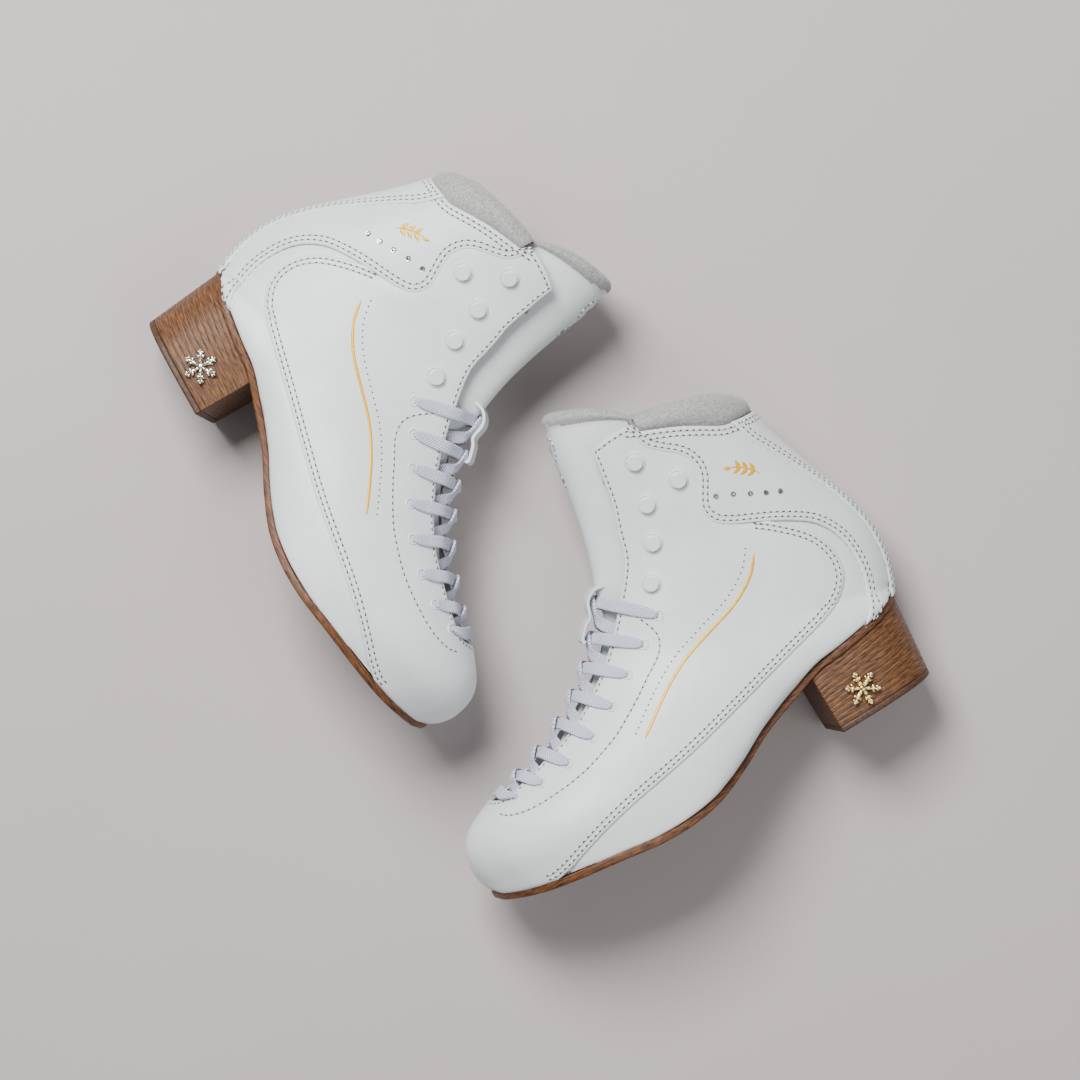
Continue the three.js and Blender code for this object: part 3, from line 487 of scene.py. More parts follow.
class Look:
    """A procedural material, built node by node."""

    def __init__(self, name, color, roughness, metallic=0.0, **uniform):
        self.material = bpy.data.materials.new(name)
        self.material.use_nodes = True
        self.tree = self.material.node_tree
        self.shader = self.tree.nodes["Principled BSDF"]
        self.shader.inputs["Base Color"].default_value = (*color, 1)
        self.shader.inputs["Roughness"].default_value = roughness
        self.shader.inputs["Metallic"].default_value = metallic
        for key, value in uniform.items():
            self.shader.inputs[key.replace("_", " ")].default_value = value
        self.color = color
        self.coords = self.tree.nodes.new("ShaderNodeTexCoord").outputs["Object"]
        self.height = None

    def node(self, kind, **settings):
        n = self.tree.nodes.new("ShaderNode" + kind)
        for key, value in settings.items():
            if key in n.inputs:
                n.inputs[key].default_value = value
            else:
                setattr(n, key, value)
        return n

    def link(self, a, b):
        self.tree.links.new(a, b)

    def use_grain(self, stretch):
        """Takes textures along the mesh's own grain map, stretched that much each way."""
        uv = self.node("UVMap", uv_map="grain")
        mapping = self.node("Mapping")
        mapping.inputs["Scale"].default_value = stretch
        self.link(uv.outputs[0], mapping.inputs["Vector"])
        self.coords = mapping.outputs[0]

    def noise(self, scale, detail=3.0, roughness=0.55):
        n = self.node("TexNoise", Scale=scale, Detail=detail, Roughness=roughness)
        self.link(self.coords, n.inputs["Vector"])
        return n.outputs["Fac"]

    def cells(self, scale, feature="F1"):
        n = self.node("TexVoronoi", Scale=scale, feature=feature)
        self.link(self.coords, n.inputs["Vector"])
        return n.outputs["Distance"]

    def range(self, value, low, high, to_low, to_high):
        n = self.node("MapRange")
        for key, v in zip(("From Min", "From Max", "To Min", "To Max"), (low, high, to_low, to_high)):
            n.inputs[key].default_value = v
        self.link(value, n.inputs["Value"])
        return n.outputs["Result"]

    def tint(self, value, dark, light):
        """Colours the surface from dark to light as value goes from 0 to 1."""
        ramp = self.node("ValToRGB")
        ramp.color_ramp.elements[0].color = (*dark, 1)
        ramp.color_ramp.elements[1].color = (*light, 1)
        self.link(value, ramp.inputs["Fac"])
        self.link(ramp.outputs["Color"], self.shader.inputs["Base Color"])
        return self

    def rough(self, value, low, high):
        self.link(self.range(value, 0.2, 0.8, low, high), self.shader.inputs["Roughness"])
        return self

    def bump(self, value, depth, strength=1.0):
        """Adds relief of that depth in metres."""
        n = self.node("Bump", Strength=strength, Distance=depth)
        self.link(value, n.inputs["Height"])
        if self.height:
            self.link(self.height, n.inputs["Normal"])
        self.height = n.outputs["Normal"]
        self.link(self.height, self.shader.inputs["Normal"])
        return self


def leather_look():
    look = Look("white_leather", (0.76, 0.79, 0.79), 0.42, Specular_IOR_Level=0.42, Coat_Weight=0.12,
                Coat_Roughness=0.3)
    cloud = look.noise(28, 4)
    look.tint(look.range(cloud, 0.3, 0.7, 0, 1), (0.73, 0.77, 0.77), (0.82, 0.85, 0.85))
    look.rough(look.noise(60, 3), 0.36, 0.5)
    look.bump(look.noise(70, 4), 0.0009, 0.35)
    look.bump(look.cells(1500, "DISTANCE_TO_EDGE"), 0.00012, 0.35)
    return look.material


def suede_look():
    look = Look("grey_suede", (0.5, 0.49, 0.48), 0.95, Specular_IOR_Level=0.15, Sheen_Weight=0.35,
                Sheen_Roughness=0.5)
    fibre = look.noise(900, 5, 0.7)
    look.tint(look.range(fibre, 0.3, 0.7, 0, 1), (0.2, 0.195, 0.19), (0.56, 0.55, 0.535))
    look.bump(look.noise(160, 3), 0.0012, 0.5)
    look.bump(fibre, 0.0006, 0.8)
    return look.material


def lace_look():
    """Flat woven braid: two crossed sets of ribs along the grain map."""
    look = Look("woven_lace", (0.77, 0.79, 0.87), 0.8, Specular_IOR_Level=0.2, Sheen_Weight=0.25)
    look.use_grain((1, 1, 1))
    ribs = []
    for turn in (0.66, -0.66):
        mapping = look.node("Mapping")
        mapping.inputs["Rotation"].default_value = (0, 0, turn)
        look.link(look.coords, mapping.inputs["Vector"])
        wave = look.node("TexWave", Scale=260.0, Distortion=0.6, Detail=1.0)
        wave.inputs["Detail Scale"].default_value = 3.0
        look.link(mapping.outputs[0], wave.inputs["Vector"])
        ribs.append(wave.outputs["Fac"])
    weave = look.node("Math", operation="MAXIMUM")
    look.link(ribs[0], weave.inputs[0])
    look.link(ribs[1], weave.inputs[1])
    # the gaps between the ribs, where the bump sets the weave lowest, are tinted darker: the braid's pattern with
    # painted shade in its gaps
    look.tint(look.range(weave.outputs[0], 0.2, 1, 0, 1), (0.42, 0.44, 0.6), (0.79, 0.81, 0.93))
    look.bump(weave.outputs[0], 0.0005, 0.9)
    return look.material


def wood_look(name, dark, light, roughness):
    """Stacked leather board: long dark flecks along the layers."""
    look = Look(name, light, roughness, Specular_IOR_Level=0.4, Coat_Weight=0.15, Coat_Roughness=0.35)
    look.use_grain((45, 420, 1))
    fleck = look.noise(3.2, 6, 0.7)
    look.tint(look.range(fleck, 0.4, 0.62, 0, 1), dark, light)
    look.rough(fleck, roughness + 0.12, roughness - 0.06)
    look.bump(fleck, 0.0006, 0.7)
    return look.material


def plain_look(name, dark, light, roughness, metallic=0.0, scale=300, depth=0.0002, **uniform):
    look = Look(name, light, roughness, metallic, **uniform)
    grain = look.noise(scale, 4)
    look.tint(look.range(grain, 0.3, 0.7, 0, 1), dark, light)
    look.rough(grain, roughness + 0.06, roughness - 0.04)
    look.bump(grain, depth, 0.5)
    return look.material


LEATHER = leather_look()
SUEDE = suede_look()
LACE = lace_look()
THREAD = plain_look("stitching_thread", (0.62, 0.64, 0.65), (0.82, 0.84, 0.84), 0.7, scale=2500, depth=0.0002)
# painted shade: this dark colour stands in for the shade inside needle holes, eyelets, tongue slits and
# perforations
HOLE_SHADE = plain_look("painted_hole_shade", (0.05, 0.045, 0.04), (0.12, 0.11, 0.1), 0.9, scale=900)
SOLE_EDGE = wood_look("burnished_sole", (0.03, 0.009, 0.003), (0.23, 0.083, 0.02), 0.5)
STACK = wood_look("stacked_heel", (0.03, 0.01, 0.003), (0.22, 0.085, 0.022), 0.5)
STACK_LINE = wood_look("heel_layer_line", (0.13, 0.05, 0.014), (0.4, 0.18, 0.055), 0.55)
TOP_LIFT = plain_look("top_lift", (0.03, 0.012, 0.005), (0.1, 0.042, 0.015), 0.55, scale=500)
ENAMEL = plain_look("white_enamel", (0.76, 0.78, 0.79), (0.84, 0.86, 0.86), 0.22, scale=120, depth=0.00005,
                    Coat_Weight=0.6, Coat_Roughness=0.08)
GOLD_FOIL = plain_look("gold_foil", (0.8, 0.4, 0.0), (0.95, 0.56, 0.004), 0.35, metallic=0.2, scale=500)
GOLD = plain_look("polished_gold", (0.75, 0.5, 0.12), (0.95, 0.7, 0.25),
                  0.2, metallic=1.0, scale=600, depth=0.00005)
SILVER = plain_look("polished_silver", (0.72, 0.72, 0.74), (0.9, 0.9, 0.92),
                    0.16, metallic=1.0, scale=600, depth=0.00005)
CRYSTAL = plain_look("crystal", (0.06, 0.07, 0.09), (0.8, 0.82, 0.88),
                     0.06, metallic=0.9, scale=1500, depth=0.00002)
PEARL = plain_look("pearl", (0.8, 0.77, 0.74), (0.92, 0.9, 0.88),
                   0.2, scale=400, depth=0.00005, Coat_Weight=0.8)
BOARD = plain_look("fibre_board", (0.3, 0.19, 0.1), (0.5, 0.35, 0.2), 0.85, scale=700, depth=0.0003)
STEEL = plain_look("spring_steel", (0.45, 0.46, 0.48), (0.6, 0.61, 0.63), 0.32, metallic=1.0, scale=400)


# ---------- outlines in side view ----------
LEATHER_TOP = [(16, 168.6), (20, 169), (30, 170.5), (38, 172), (50, 179), (60, 184.5), (70, 189), (77, 192),
               (83, 195)]
BACKSTAY_EDGE = [(33, 171), (29, 158), (23, 147.5), (17, 137), (11.5, 127), (6, 116.5), (2.2, 107), (-1, 97),
                 (-3.2, 88), (-3.8, 78), (-3, 68), (-0.6, 59), (3, 51), (5.5, 47.3)]
ANKLE_EDGE = [(82, 194.4), (79, 184), (73, 177.5), (66, 171.5), (62.5, 166), (61.5, 160), (63, 155),
              (67, 148), (70, 142), (70, 136), (67, 130), (60, 125), (50, 120), (40, 115), (30, 109),
              (22, 103), (16, 95), (12.5, 86), (11.5, 76), (12.5, 66), (16, 56), (21, 48), (27, 42.5)]
QUARTER_EDGE = [(48, 121), (40, 114.5), (31, 106), (24.5, 98), (20.5, 89), (19.5, 81), (21, 73), (25, 66.5),
                (32, 61), (42, 57.2), (55, 54.2), (85, 47.5), (105, 42.8), (140, 35.2), (180, 28.8),
                (200, 24.5), (215, 20), (225, 16.5), (236, 13.9)]
QUARTER_TUCK = [(48, 121), (57, 127.5), (62, 132), (64, 138), (62, 146), (57.5, 153), (55.5, 160), (57, 169),
                (66, 179), (73, 187), (76, 193)]
QUARTER_TOP = [(76, 193), (82, 197.6), (90, 197.9), (97, 197.3), (103, 196.3)]
FACING_EDGE = [(103, 196.3), (103.6, 190), (104.7, 183), (106.2, 174), (108, 165), (110.5, 158), (113, 150),
               (116, 140), (120, 133), (125, 126.5), (130, 120.5), (136, 113.5), (143, 106), (150, 99.5),
               (157, 93.5), (165, 88), (172, 83.5), (180, 79.3), (187, 76), (195, 73), (205, 70),
               (215, 67.2), (225, 64.8), (233, 63)]
THROAT_END, FOOT_END = 240.5, 262
STAY_LINE = [(128, 112), (126, 107), (123.5, 100), (123, 95), (125, 90), (130, 85), (140, 79), (148, 74),
             (158, 68.5), (170, 62.5), (180, 59), (190, 56), (200, 54), (210, 53), (220, 52.5), (230, 53),
             (238, 55), (242, 58)]
STUDS = [(87, 179.5), (72.5, 160), (92.5, 157), (100, 138), (111.5, 120)]
EYELETS = [(117, 104), (131.5, 95), (147, 85.5), (163, 75.5), (180, 67.5), (198, 62.5), (215, 60.5),
           (230, 61)]


def front_ring(x):
    """The ring whose front point has that x."""
    t = np.linspace(0, LAST, 2200)
    return float(np.interp(x, spline(STATIONS, t)[:, 2], t))


def line(chart, points, side, count=None):
    return to_chart(chart, smooth(points, count or 8 * len(points)), side)


def mirror(path):
    return (path * (1, -1))[::-1]


BACKSTAY_LIFT, ANKLE_LIFT, QUARTER_LIFT = 1.9, 1.15, 0.95


def feather_path(chart, first, last, side, count=80):
    """The line where the upper meets the sole, from one x to another."""
    x = np.linspace(first, last, count)
    return to_chart(chart, np.stack([x, feather(x) + 0.25], axis=1), side)


def straight(a, b, count=12):
    k = np.linspace(0, 1, count)[:, None]
    return a * (1 - k) + b * k


def ankle_segments(side):
    tuck = [(x - 5, z) for x, z in BACKSTAY_EDGE[1:-1]]
    top = line("back", LEATHER_TOP[2:], side)
    edge = line("back", ANKLE_EDGE, side)
    edge[0] = top[-1]
    inner = line("back", tuck[::-1], side)
    foot = feather_path("back", ANKLE_EDGE[-1][0], 6, side, 20)
    foot[0] = edge[-1]
    return [(top, "cut"), (edge, "cut"), (foot, "sole"), (straight(foot[-1], inner[0]), "tuck"),
            (inner, "tuck"), (straight(inner[-1], top[0]), "tuck")]


def foxing_segments(side):
    rise = [(6, 52), (7, 64), (7.5, 80), (13, 96), (23, 108), (36, 117), (50, 125), (56, 124)]
    fall = [(56, 124), (50, 113), (38, 102), (30, 92), (27, 82), (30, 73), (38, 66), (50, 61.5), (72, 57),
            (106, 49), (141, 41.5), (181, 35), (206, 30), (224, 24.5), (243, 20)]
    up = line("back", rise, side)
    down = line("back", fall, side)
    foot = feather_path("back", 243, 5, side)
    return [(up, "tuck"), (down, "tuck"), (straight(down[-1], foot[0], 4), "tuck"), (foot, "sole"),
            (straight(foot[-1], up[0], 4), "tuck")]


def throat_turn(start, end_x):
    """The quarter ellipse from the last place of a facing to the front line at that x."""
    k = np.linspace(0, math.pi / 2, 14)
    return np.stack([start[0] + (front_ring(end_x) - start[0]) * np.sin(k), start[1] * np.cos(k)], axis=1)


def quarter_segments():
    """The vamp and both quarters, one piece that crosses over the toe."""
    top = line("front", QUARTER_TOP, 1)
    facing = line("front", FACING_EDGE, 1)
    facing[0] = top[-1]
    turn = throat_turn(facing[-1], THROAT_END)
    tuck = line("front", QUARTER_TUCK, 1)[::-1]
    edge = line("front", QUARTER_EDGE, 1)
    tuck[0], tuck[-1] = top[0], edge[0]
    foot = feather_path("front", QUARTER_EDGE[-1][0], FOOT_END, 1, 40)
    foot[0] = edge[-1]
    last = np.array([LAST, math.pi - LEAST_ANGLE])
    toe = straight(foot[-1], last, 8)
    upper = [(top, "single"), (facing, "single"), (turn, "single")]
    lower = [(tuck, "tuck"), (edge, "cut"), (foot, "sole"), (toe, "sole")]
    inner = [(mirror(path), kind) for path, kind in upper[::-1]]
    inner += [(path * (1, -1), kind) for path, kind in lower]
    across = (straight(last * (1, -1), last, 40), "plain")
    return upper + inner + [across] + [(path[::-1], kind) for path, kind in lower[::-1]]


def backstay_segments():
    edge = line("back", BACKSTAY_EDGE, 1)
    foot = straight(edge[-1], np.array([SEAT_RING, 0.0]))
    top = line("back", [(17, 168.7), (20, 169), (26, 169.8), BACKSTAY_EDGE[0]], 1)
    top[0, 1] = 0
    top[-1] = edge[0]
    return [(edge, "cut"), (foot, "sole"), (mirror(foot), "sole"), (mirror(edge), "cut"),
            (mirror(top), "cut"), (top, "cut")]


# ---------- leather panels ----------
PANELS = {
    "backstay": ("back", backstay_segments(), BACKSTAY_LIFT, ["backstay"]),
    "ankle_panel_outer": ("back", ankle_segments(1), ANKLE_LIFT, ["ankle_panel_outer"]),
    "ankle_panel_inner": ("back", ankle_segments(-1), ANKLE_LIFT, ["ankle_panel_inner"]),
    "foxing_outer": ("back", foxing_segments(1), 0.0, ["foxing_outer"]),
    "foxing_inner": ("back", foxing_segments(-1), 0.0, ["foxing_inner"]),
    "vamp_quarter": ("front", quarter_segments(), QUARTER_LIFT, ["vamp_quarter"]),
}
TURN_IN_FROM, TURN_IN_STEPS = 236.0, 70
ROW_DISTANCES = {"cut": (2.2, 4.7), "single": (2.3,), "sole": (), "tuck": (), "plain": ()}


def upper_leather():
    """Every leather panel's mesh, and all the stitches along their edges."""
    made, threads, holes = {}, [], []
    for name, (chart, segments, thick, nodes) in PANELS.items():
        points, faces, edges, every = panel(chart, segments, thick)
        made[name] = (points, faces, nodes)
        for (path, turn), (_, kind) in zip(edges, segments):
            for distance in ROW_DISTANCES[kind]:
                row = set_in(chart, path, distance, turn)
                row = row[nearest(from_chart(chart, row), every) > 0.85 * distance]
                some, more = stitch_row(chart, row, thick - 0.02)
                threads += some
                holes += more
    for side in SIDES:
        some, more = stitch_row("front", line("front", STAY_LINE, side), QUARTER_LIFT)
        threads += some
        holes += more
    return made, threads, holes


def toe_turn_in():
    """The leather's edge turned in round the toe, from the upper down to the sole."""
    foot = feather_path("front", TURN_IN_FROM, FOOT_END, 1, 30)
    half = np.vstack([foot, straight(foot[-1], np.array([LAST, math.pi - LEAST_ANGLE]), 8)[1:]])
    edge = np.vstack([on_skin("front", half, 0.25), on_skin("front", (half * (1, -1))[::-1], 0.25)])
    plan = PLAN_LINE[PLAN_LINE[:, 0] >= TURN_IN_FROM]
    plan = np.column_stack([TURN_IN_FROM + (plan[:, 0] - TURN_IN_FROM) * 0.97, np.maximum(0, plan[:, 1] - 1)])
    plan = np.vstack([plan, (plan * (1, -1))[::-1]])
    seat = np.column_stack([plan[:, 0], plan[:, 1] - swing(plan[:, 0]), feather(plan[:, 0]) + 0.2])
    rows = []
    for row in (edge, seat):
        length = arc_length(row)
        rows.append(resample(np.linspace(0, length[-1], TURN_IN_STEPS), length, row))
    return loft(rows, closed=False)


# ---------- lining ----------


def lining_mesh():
    """The smooth inside of the upper, seen through the mouth."""
    top = line("front", [(17, 166), (30, 168), (50, 176), (70, 186), (82, 193), (92, 194.5), (101, 193)], 1)
    facing = line("front", [(x - 1.6, z - 1.2) for x, z in FACING_EDGE], 1)
    facing[0] = top[-1]
    top[0, 1] = math.pi
    turn = throat_turn(facing[-1], THROAT_END - 3)
    toe = front_ring(FOOT_END)
    back = straight(np.array([toe, math.pi]), np.array([top[0, 0], math.pi]), 120)
    upper = [(top, "plain"), (facing, "tuck"), (turn, "tuck")]
    outline = upper + [(mirror(path), kind) for path, kind in upper[::-1]]
    outline += [(back[::-1] * (1, -1), "plain"), (straight(back[0] * (1, -1), back[0], 60), "plain"),
                (back, "plain")]
    points, faces, *_ = panel("front", outline, 0, grid=7, inset=(LINING_IN - 1,) * 3)
    return points, [f[::-1] for f in faces]


# ---------- sole and heel ----------


def plan_outline(inset, x_end=None, step=2.2):
    """The sole's outline, closed, anticlockwise, set in, and cut off at x_end where it is given."""
    half = PLAN_LINE[(PLAN_LINE[:, 1] > 0.3)]
    closed = np.vstack([SOLE_PLAN[:1], half, SOLE_PLAN[-1:], (half * (1, -1))[::-1], SOLE_PLAN[:1]])
    length = arc_length(closed)
    loop = resample(np.linspace(0, length[-1], int(length[-1] / step), endpoint=False), length, closed)
    along = np.roll(loop, -1, 0) - np.roll(loop, 1, 0)
    along /= np.linalg.norm(along, axis=1, keepdims=True)
    loop = loop + np.stack([along[:, 1], -along[:, 0]], axis=1) * inset
    if x_end is not None:
        keep = loop[:, 0] < x_end
        first = int(np.argmax(~keep))
        loop = np.roll(loop, -first, 0)
        keep = np.roll(keep, -first)
        loop = loop[keep]
        width = loop[0, 1]
        breast = np.linspace(loop[-1, 1], width, 14)
        loop = np.vstack([loop, np.stack([np.full(14, x_end), breast], axis=1)])
    return loop


def slab(profile, height, x_end=None, place=None):
    """A slab of the sole's outline. profile is (inset, level) from the bottom up, and height gives z for
    a level."""
    rings, grain = [], []
    for inset, level in profile:
        loop = plan_outline(inset, x_end) if inset >= 0 else plan_outline(0, x_end)
        x, y = loop.T
        if place:
            x, y = place(x, y, height(x, level))
        z = height(x, level)
        rings.append(np.stack([x, y - swing(x), z], axis=1))
        grain.append(np.stack([arc_length(loop) * MM, z * MM], axis=1))
    count = min(len(r) for r in rings)
    rings = [r[np.linspace(0, len(r) - 1, count).round().astype(int)] for r in rings]
    grain = [g[np.linspace(0, len(g) - 1, count).round().astype(int)] for g in grain]
    points, faces = loft(rings)
    uv = np.vstack(grain)
    part = [i // count for i in range(len(faces))]
    for index, level, flip in ((0, profile[0][1], True), (len(rings) - 1, profile[-1][1], False)):
        loop = rings[index][:, :2]
        low, high = loop.min(0), loop.max(0)
        x, y = np.meshgrid(np.arange(low[0] + 3, high[0] - 2, 6), np.arange(low[1] + 3, high[1] - 2, 7))
        inner = np.stack([x.ravel(), y.ravel()], axis=1)
        inner = inner[nearest(inner, loop) > 3]
        at, more = triangulate(loop, inner)
        z = height(at[:, 0], level)
        area = signed_area(at[list(more[0])])
        if (area < 0) != flip:
            more = [f[::-1] for f in more]
        more = [tuple(i + len(points) for i in f) for f in more]
        points = np.vstack([points, np.column_stack([at, z])])
        uv = np.vstack([uv, at * MM])
        faces += more
        part += [-1] * len(more)
    return points, faces, uv, part


def sole_mesh():
    profile = [(1.0, 0), (0.35, 0.03), (0.05, 0.2), (0, 0.5), (0.05, 0.8), (0.3, 0.96), (1.0, 1)]
    return slab(profile, lambda x, level: feather(x) - SOLE + (SOLE + SOLE_RISE) * level)


def heel_place(x, y, z):
    drop = 1 - z / HEEL_TOP
    lean = np.clip(1 - x / HEEL_FRONT, 0, 1)
    return x + HEEL_BACK_LEAN * drop * lean, y * (1 - HEEL_TAPER * drop)


LAYERS = 11


def heel_mesh():
    """Stacked lifts, each with eased edges and a lighter glue line between them."""
    profile, kinds = [], []
    for layer in range(LAYERS):
        low, high = layer / LAYERS, (layer + 1) / LAYERS
        profile += [(SEAT_INSET + 0.22, low + 0.005), (SEAT_INSET, low + 0.016),
                    (SEAT_INSET, high - 0.012), (SEAT_INSET + 0.22, high - 0.001)]
        kinds += [0, 0, 0, 1]

    def height(x, level):
        return LIFT + 0.1 + (feather(x) - SOLE - LIFT - 0.2) * level

    points, faces, uv, part = slab(profile, height, HEEL_FRONT, heel_place)
    return points, faces, uv, [0 if k < 0 else kinds[k] for k in part]


def lift_mesh():
    profile = [(SEAT_INSET + 0.7, 0), (SEAT_INSET + 0.2, 0.08), (SEAT_INSET, 0.25), (SEAT_INSET, 0.93),
               (SEAT_INSET + 0.25, 1)]
    return slab(profile, lambda x, level: np.full_like(x, LIFT * level), HEEL_FRONT, heel_place)


# ---------- collar and tongue ----------
SUEDE_TOP = [(15, 176.5), (18.5, 179), (21, 181.5), (28, 185.5), (35, 188), (45, 191), (55, 194),
             (65, 196.3), (72, 197.6), (77, 197.8)]
COLLAR_STEPS = 44


def collar_mesh():
    """The padded suede roll round the mouth, from one quarter's tab round the back to the other's."""
    edge = line("back", [(16, 168.4), (20, 168.8), (30, 170.2), (38, 171.6), (50, 178.3), (60, 184),
                         (70, 188.6), (77, 191.6)], 1, COLLAR_STEPS)
    top = line("back", SUEDE_TOP, 1, COLLAR_STEPS)
    edge[0, 1] = top[0, 1] = 0
    halves = []
    for side in (-1, 1):
        low, high = edge * (1, side), top * (1, side)
        fade = np.clip((COLLAR_STEPS - 1 - np.arange(COLLAR_STEPS)) / 9, 0, 1) ** 0.5
        fade = fade * np.clip(0.15 + np.abs(low[:, 1]) / 1.1, 0, 1)
        rows = []
        for q, height in ((0, -1.2), (0.06, 0.6), (0.25, 2.1), (0.5, 2.9), (0.75, 2.4), (0.93, 0.9)):
            rows.append(on_skin("back", low * (1 - q) + high * q, height * (0.45 + 0.55 * fade)))
        crown = on_skin("back", high, -0.9)
        deep = from_chart("back", high, (9, 9, 12))
        rows.append(crown + (deep - crown) * 0.12 + (0, 0, 1.4))
        rows.append(crown + (deep - crown) * 0.4 + (0, 0, 2.2))
        rows.append(crown + (deep - crown) * 0.75 + (0, 0, 0.9))
        inner_low = low + (1.1, 0)
        for q, depth in ((0.12, 10.2), (0.4, 10.6), (0.7, 9), (1, 5.2)):
            place = high * (1 - q) + inner_low * q
            rows.append(from_chart("back", place, (depth, depth, depth + 3 * (1 - q))))
        rows = np.array(rows)
        halves.append(rows[:, ::-1] if side < 0 else rows[:, 1:])
    points, faces = loft(np.concatenate(halves, axis=1), closed=False)
    return points, [f[::-1] for f in faces]


TONGUE_FRONT, TONGUE_SIDE, TONGUE_DEEP = 4.9, 8.2, 9.6
TONGUE_THICK, TONGUE_LOW_THICK = 6.5, 3.2
THROAT_CLEARANCE = 1.2
# the crown, above the quarters: how wide it is at each ring, and the rings where it narrows into the throat
CROWN = [(0.16, 1.3), (0.35, 1.4), (0.7, 1.48), (1.0, 1.44), (1.25, 1.3), (1.45, 1.15)]
CROWN_TOP, CROWN_END, CROWN_EASE = 0.16, 2.0, 0.55
ROLL_ROWS, ROLL_SHARE, ROLL_HEIGHT, ROLL_DEPTH = 9, 0.78, 1.8, 0.36
# from this ring to the end of the ease after it, the thick upper tongue turns into the thin lower one
LOW_RING, LOW_EASE = 4.6, 1.6
TONGUE_COLUMNS = 41
# ring, half width and half height of each stitched patch, and half the length of its slit
TONGUE_PATCHES = [(1.02, 6.4, 7.0, 2.4), (1.75, 2.6, 4.2, 2.0)]


def tongue_mesh():
    """The padded tongue, one piece from the end of the throat to its crown: leather in front, with a
    suede roll round the crown and suede behind."""
    facing = line("front", FACING_EDGE, 1)
    facing = facing[np.argsort(facing[:, 0])]
    roll = np.linspace(0, 1, ROLL_ROWS) * ROLL_DEPTH + CROWN_TOP
    rows = np.r_[roll, np.linspace(0.62, 1.9, 12), np.linspace(2.05, 18.2, 74)]
    across = np.sin(np.linspace(-1, 1, TONGUE_COLUMNS) * math.pi / 2)
    side = np.abs(across)
    rings = []
    for number, t in enumerate(rows):
        low, crown = ease((t - LOW_RING) / LOW_EASE), ease((CROWN_END - t) / CROWN_EASE)
        front = TONGUE_FRONT + (TONGUE_DEEP - TONGUE_FRONT) * low
        side_in = TONGUE_SIDE + (TONGUE_DEEP - TONGUE_SIDE) * low
        edge = np.interp(t, facing[:, 0], facing[:, 1])
        half = spline(STATIONS, np.array([t]))[0, 4]
        throat = (half - LINING_IN) * math.sin(min(edge, 1.5)) - THROAT_CLEARANCE
        width = math.asin(min(0.99, throat / (half - side_in))) if t < LOW_RING else edge + 0.16
        width = width * (1 - crown) + np.interp(t, *np.transpose(CROWN)) * crown
        thick = TONGUE_THICK + (TONGUE_LOW_THICK - TONGUE_THICK) * low
        end = 1 - np.clip((t - CROWN_TOP) / 0.3, 0, 1)
        round_off = np.sqrt(np.maximum(0, 1 - end**2)) * 0.94 + 0.06
        corner = crown * np.clip((1.3 - t) / (1.3 - CROWN_TOP), 0, 1)
        places = np.column_stack([t + corner * (0.75 * side**6 + 0.1), across * width])
        face = from_chart("front", places, (front, side_in, 0))
        inside = from_chart("front", places, (front + thick, side_in + thick * 0.8, 0))
        middle = (face + inside) / 2
        puff = np.sqrt(np.maximum(0, 1 - side**8)) * round_off
        # the suede stands up in a roll, along the top and down both sides of the crown
        top_roll = math.sin(math.pi * min(1, number / (ROLL_ROWS - 1)))
        side_roll = crown * np.sin(math.pi * np.clip((side - ROLL_SHARE) / (1 - ROLL_SHARE), 0, 1))
        lift = slopes("front", places)[2] * (ROLL_HEIGHT * np.maximum(top_roll, side_roll))[:, None]
        face = middle + (face - middle) * puff[:, None] + lift
        inside = middle + (inside - middle) * puff[:, None]
        rings.append(np.vstack([face, inside[-2:0:-1]]))
    count = len(rings[0])
    points, faces = loft(rings, cap=True)
    middle_share = np.abs((across[1:] + across[:-1]) / 2)
    part = []
    for number, t in enumerate(rows[:-1]):
        leather = (middle_share < ROLL_SHARE + 0.02) | (t > CROWN_END)
        leather &= number >= ROLL_ROWS - 1 - 3 * (1 - np.minimum(1, middle_share / 0.45))
        part += [0 if k < len(leather) and leather[k] else 1 for k in range(count)]
    return points, [f[::-1] for f in faces], part + [1, 1]


def tongue_trim():
    """The stitched patches on the front of the tongue, each with a slit to lead the lace through, drawn as a dark
    mark of painted shade.
    """
    inset = (TONGUE_FRONT, TONGUE_SIDE, 0)
    threads, holes, slits = [], [], []
    for ring, wide, high, slit in TONGUE_PATCHES:
        a, b, _ = slopes("front", np.array([[ring, 0.001]]), inset)
        q = np.linspace(0, 2 * math.pi, 60)
        size = wide / np.linalg.norm(b), high / np.linalg.norm(a)
        round_it = np.stack([ring + size[1] * np.sin(q), size[0] * np.cos(q)], axis=1)
        some, more = stitch_row("front", round_it, 0.05, inset)
        threads += some
        holes += more
        at = np.array([[ring - 0.01, 0.0], [ring, 0.0], [ring + 0.01, 0.0]])
        centre, normal = on_skin("front", at, 0.1, inset), slopes("front", at, inset)[2]
        along, across, _ = frames(centre, normal)
        slits.append((centre[1], along[1] * slit, across[1], normal[1]))
    return thread_mesh(threads), join(hole_shade_mesh(holes), hole_shade_mesh(slits, 1.5))


# ---------- laces ----------
LACE_WIDTH, LACE_THICK, LACE_UNDER = 6.6, 1.5, 5.95
CROSSINGS = [(139.5, 126), (151.5, 111), (163.5, 100), (176, 90.5), (190, 82), (207, 74.5), (223, 69.5)]
LACE_BAR = (234.6, 67.2)


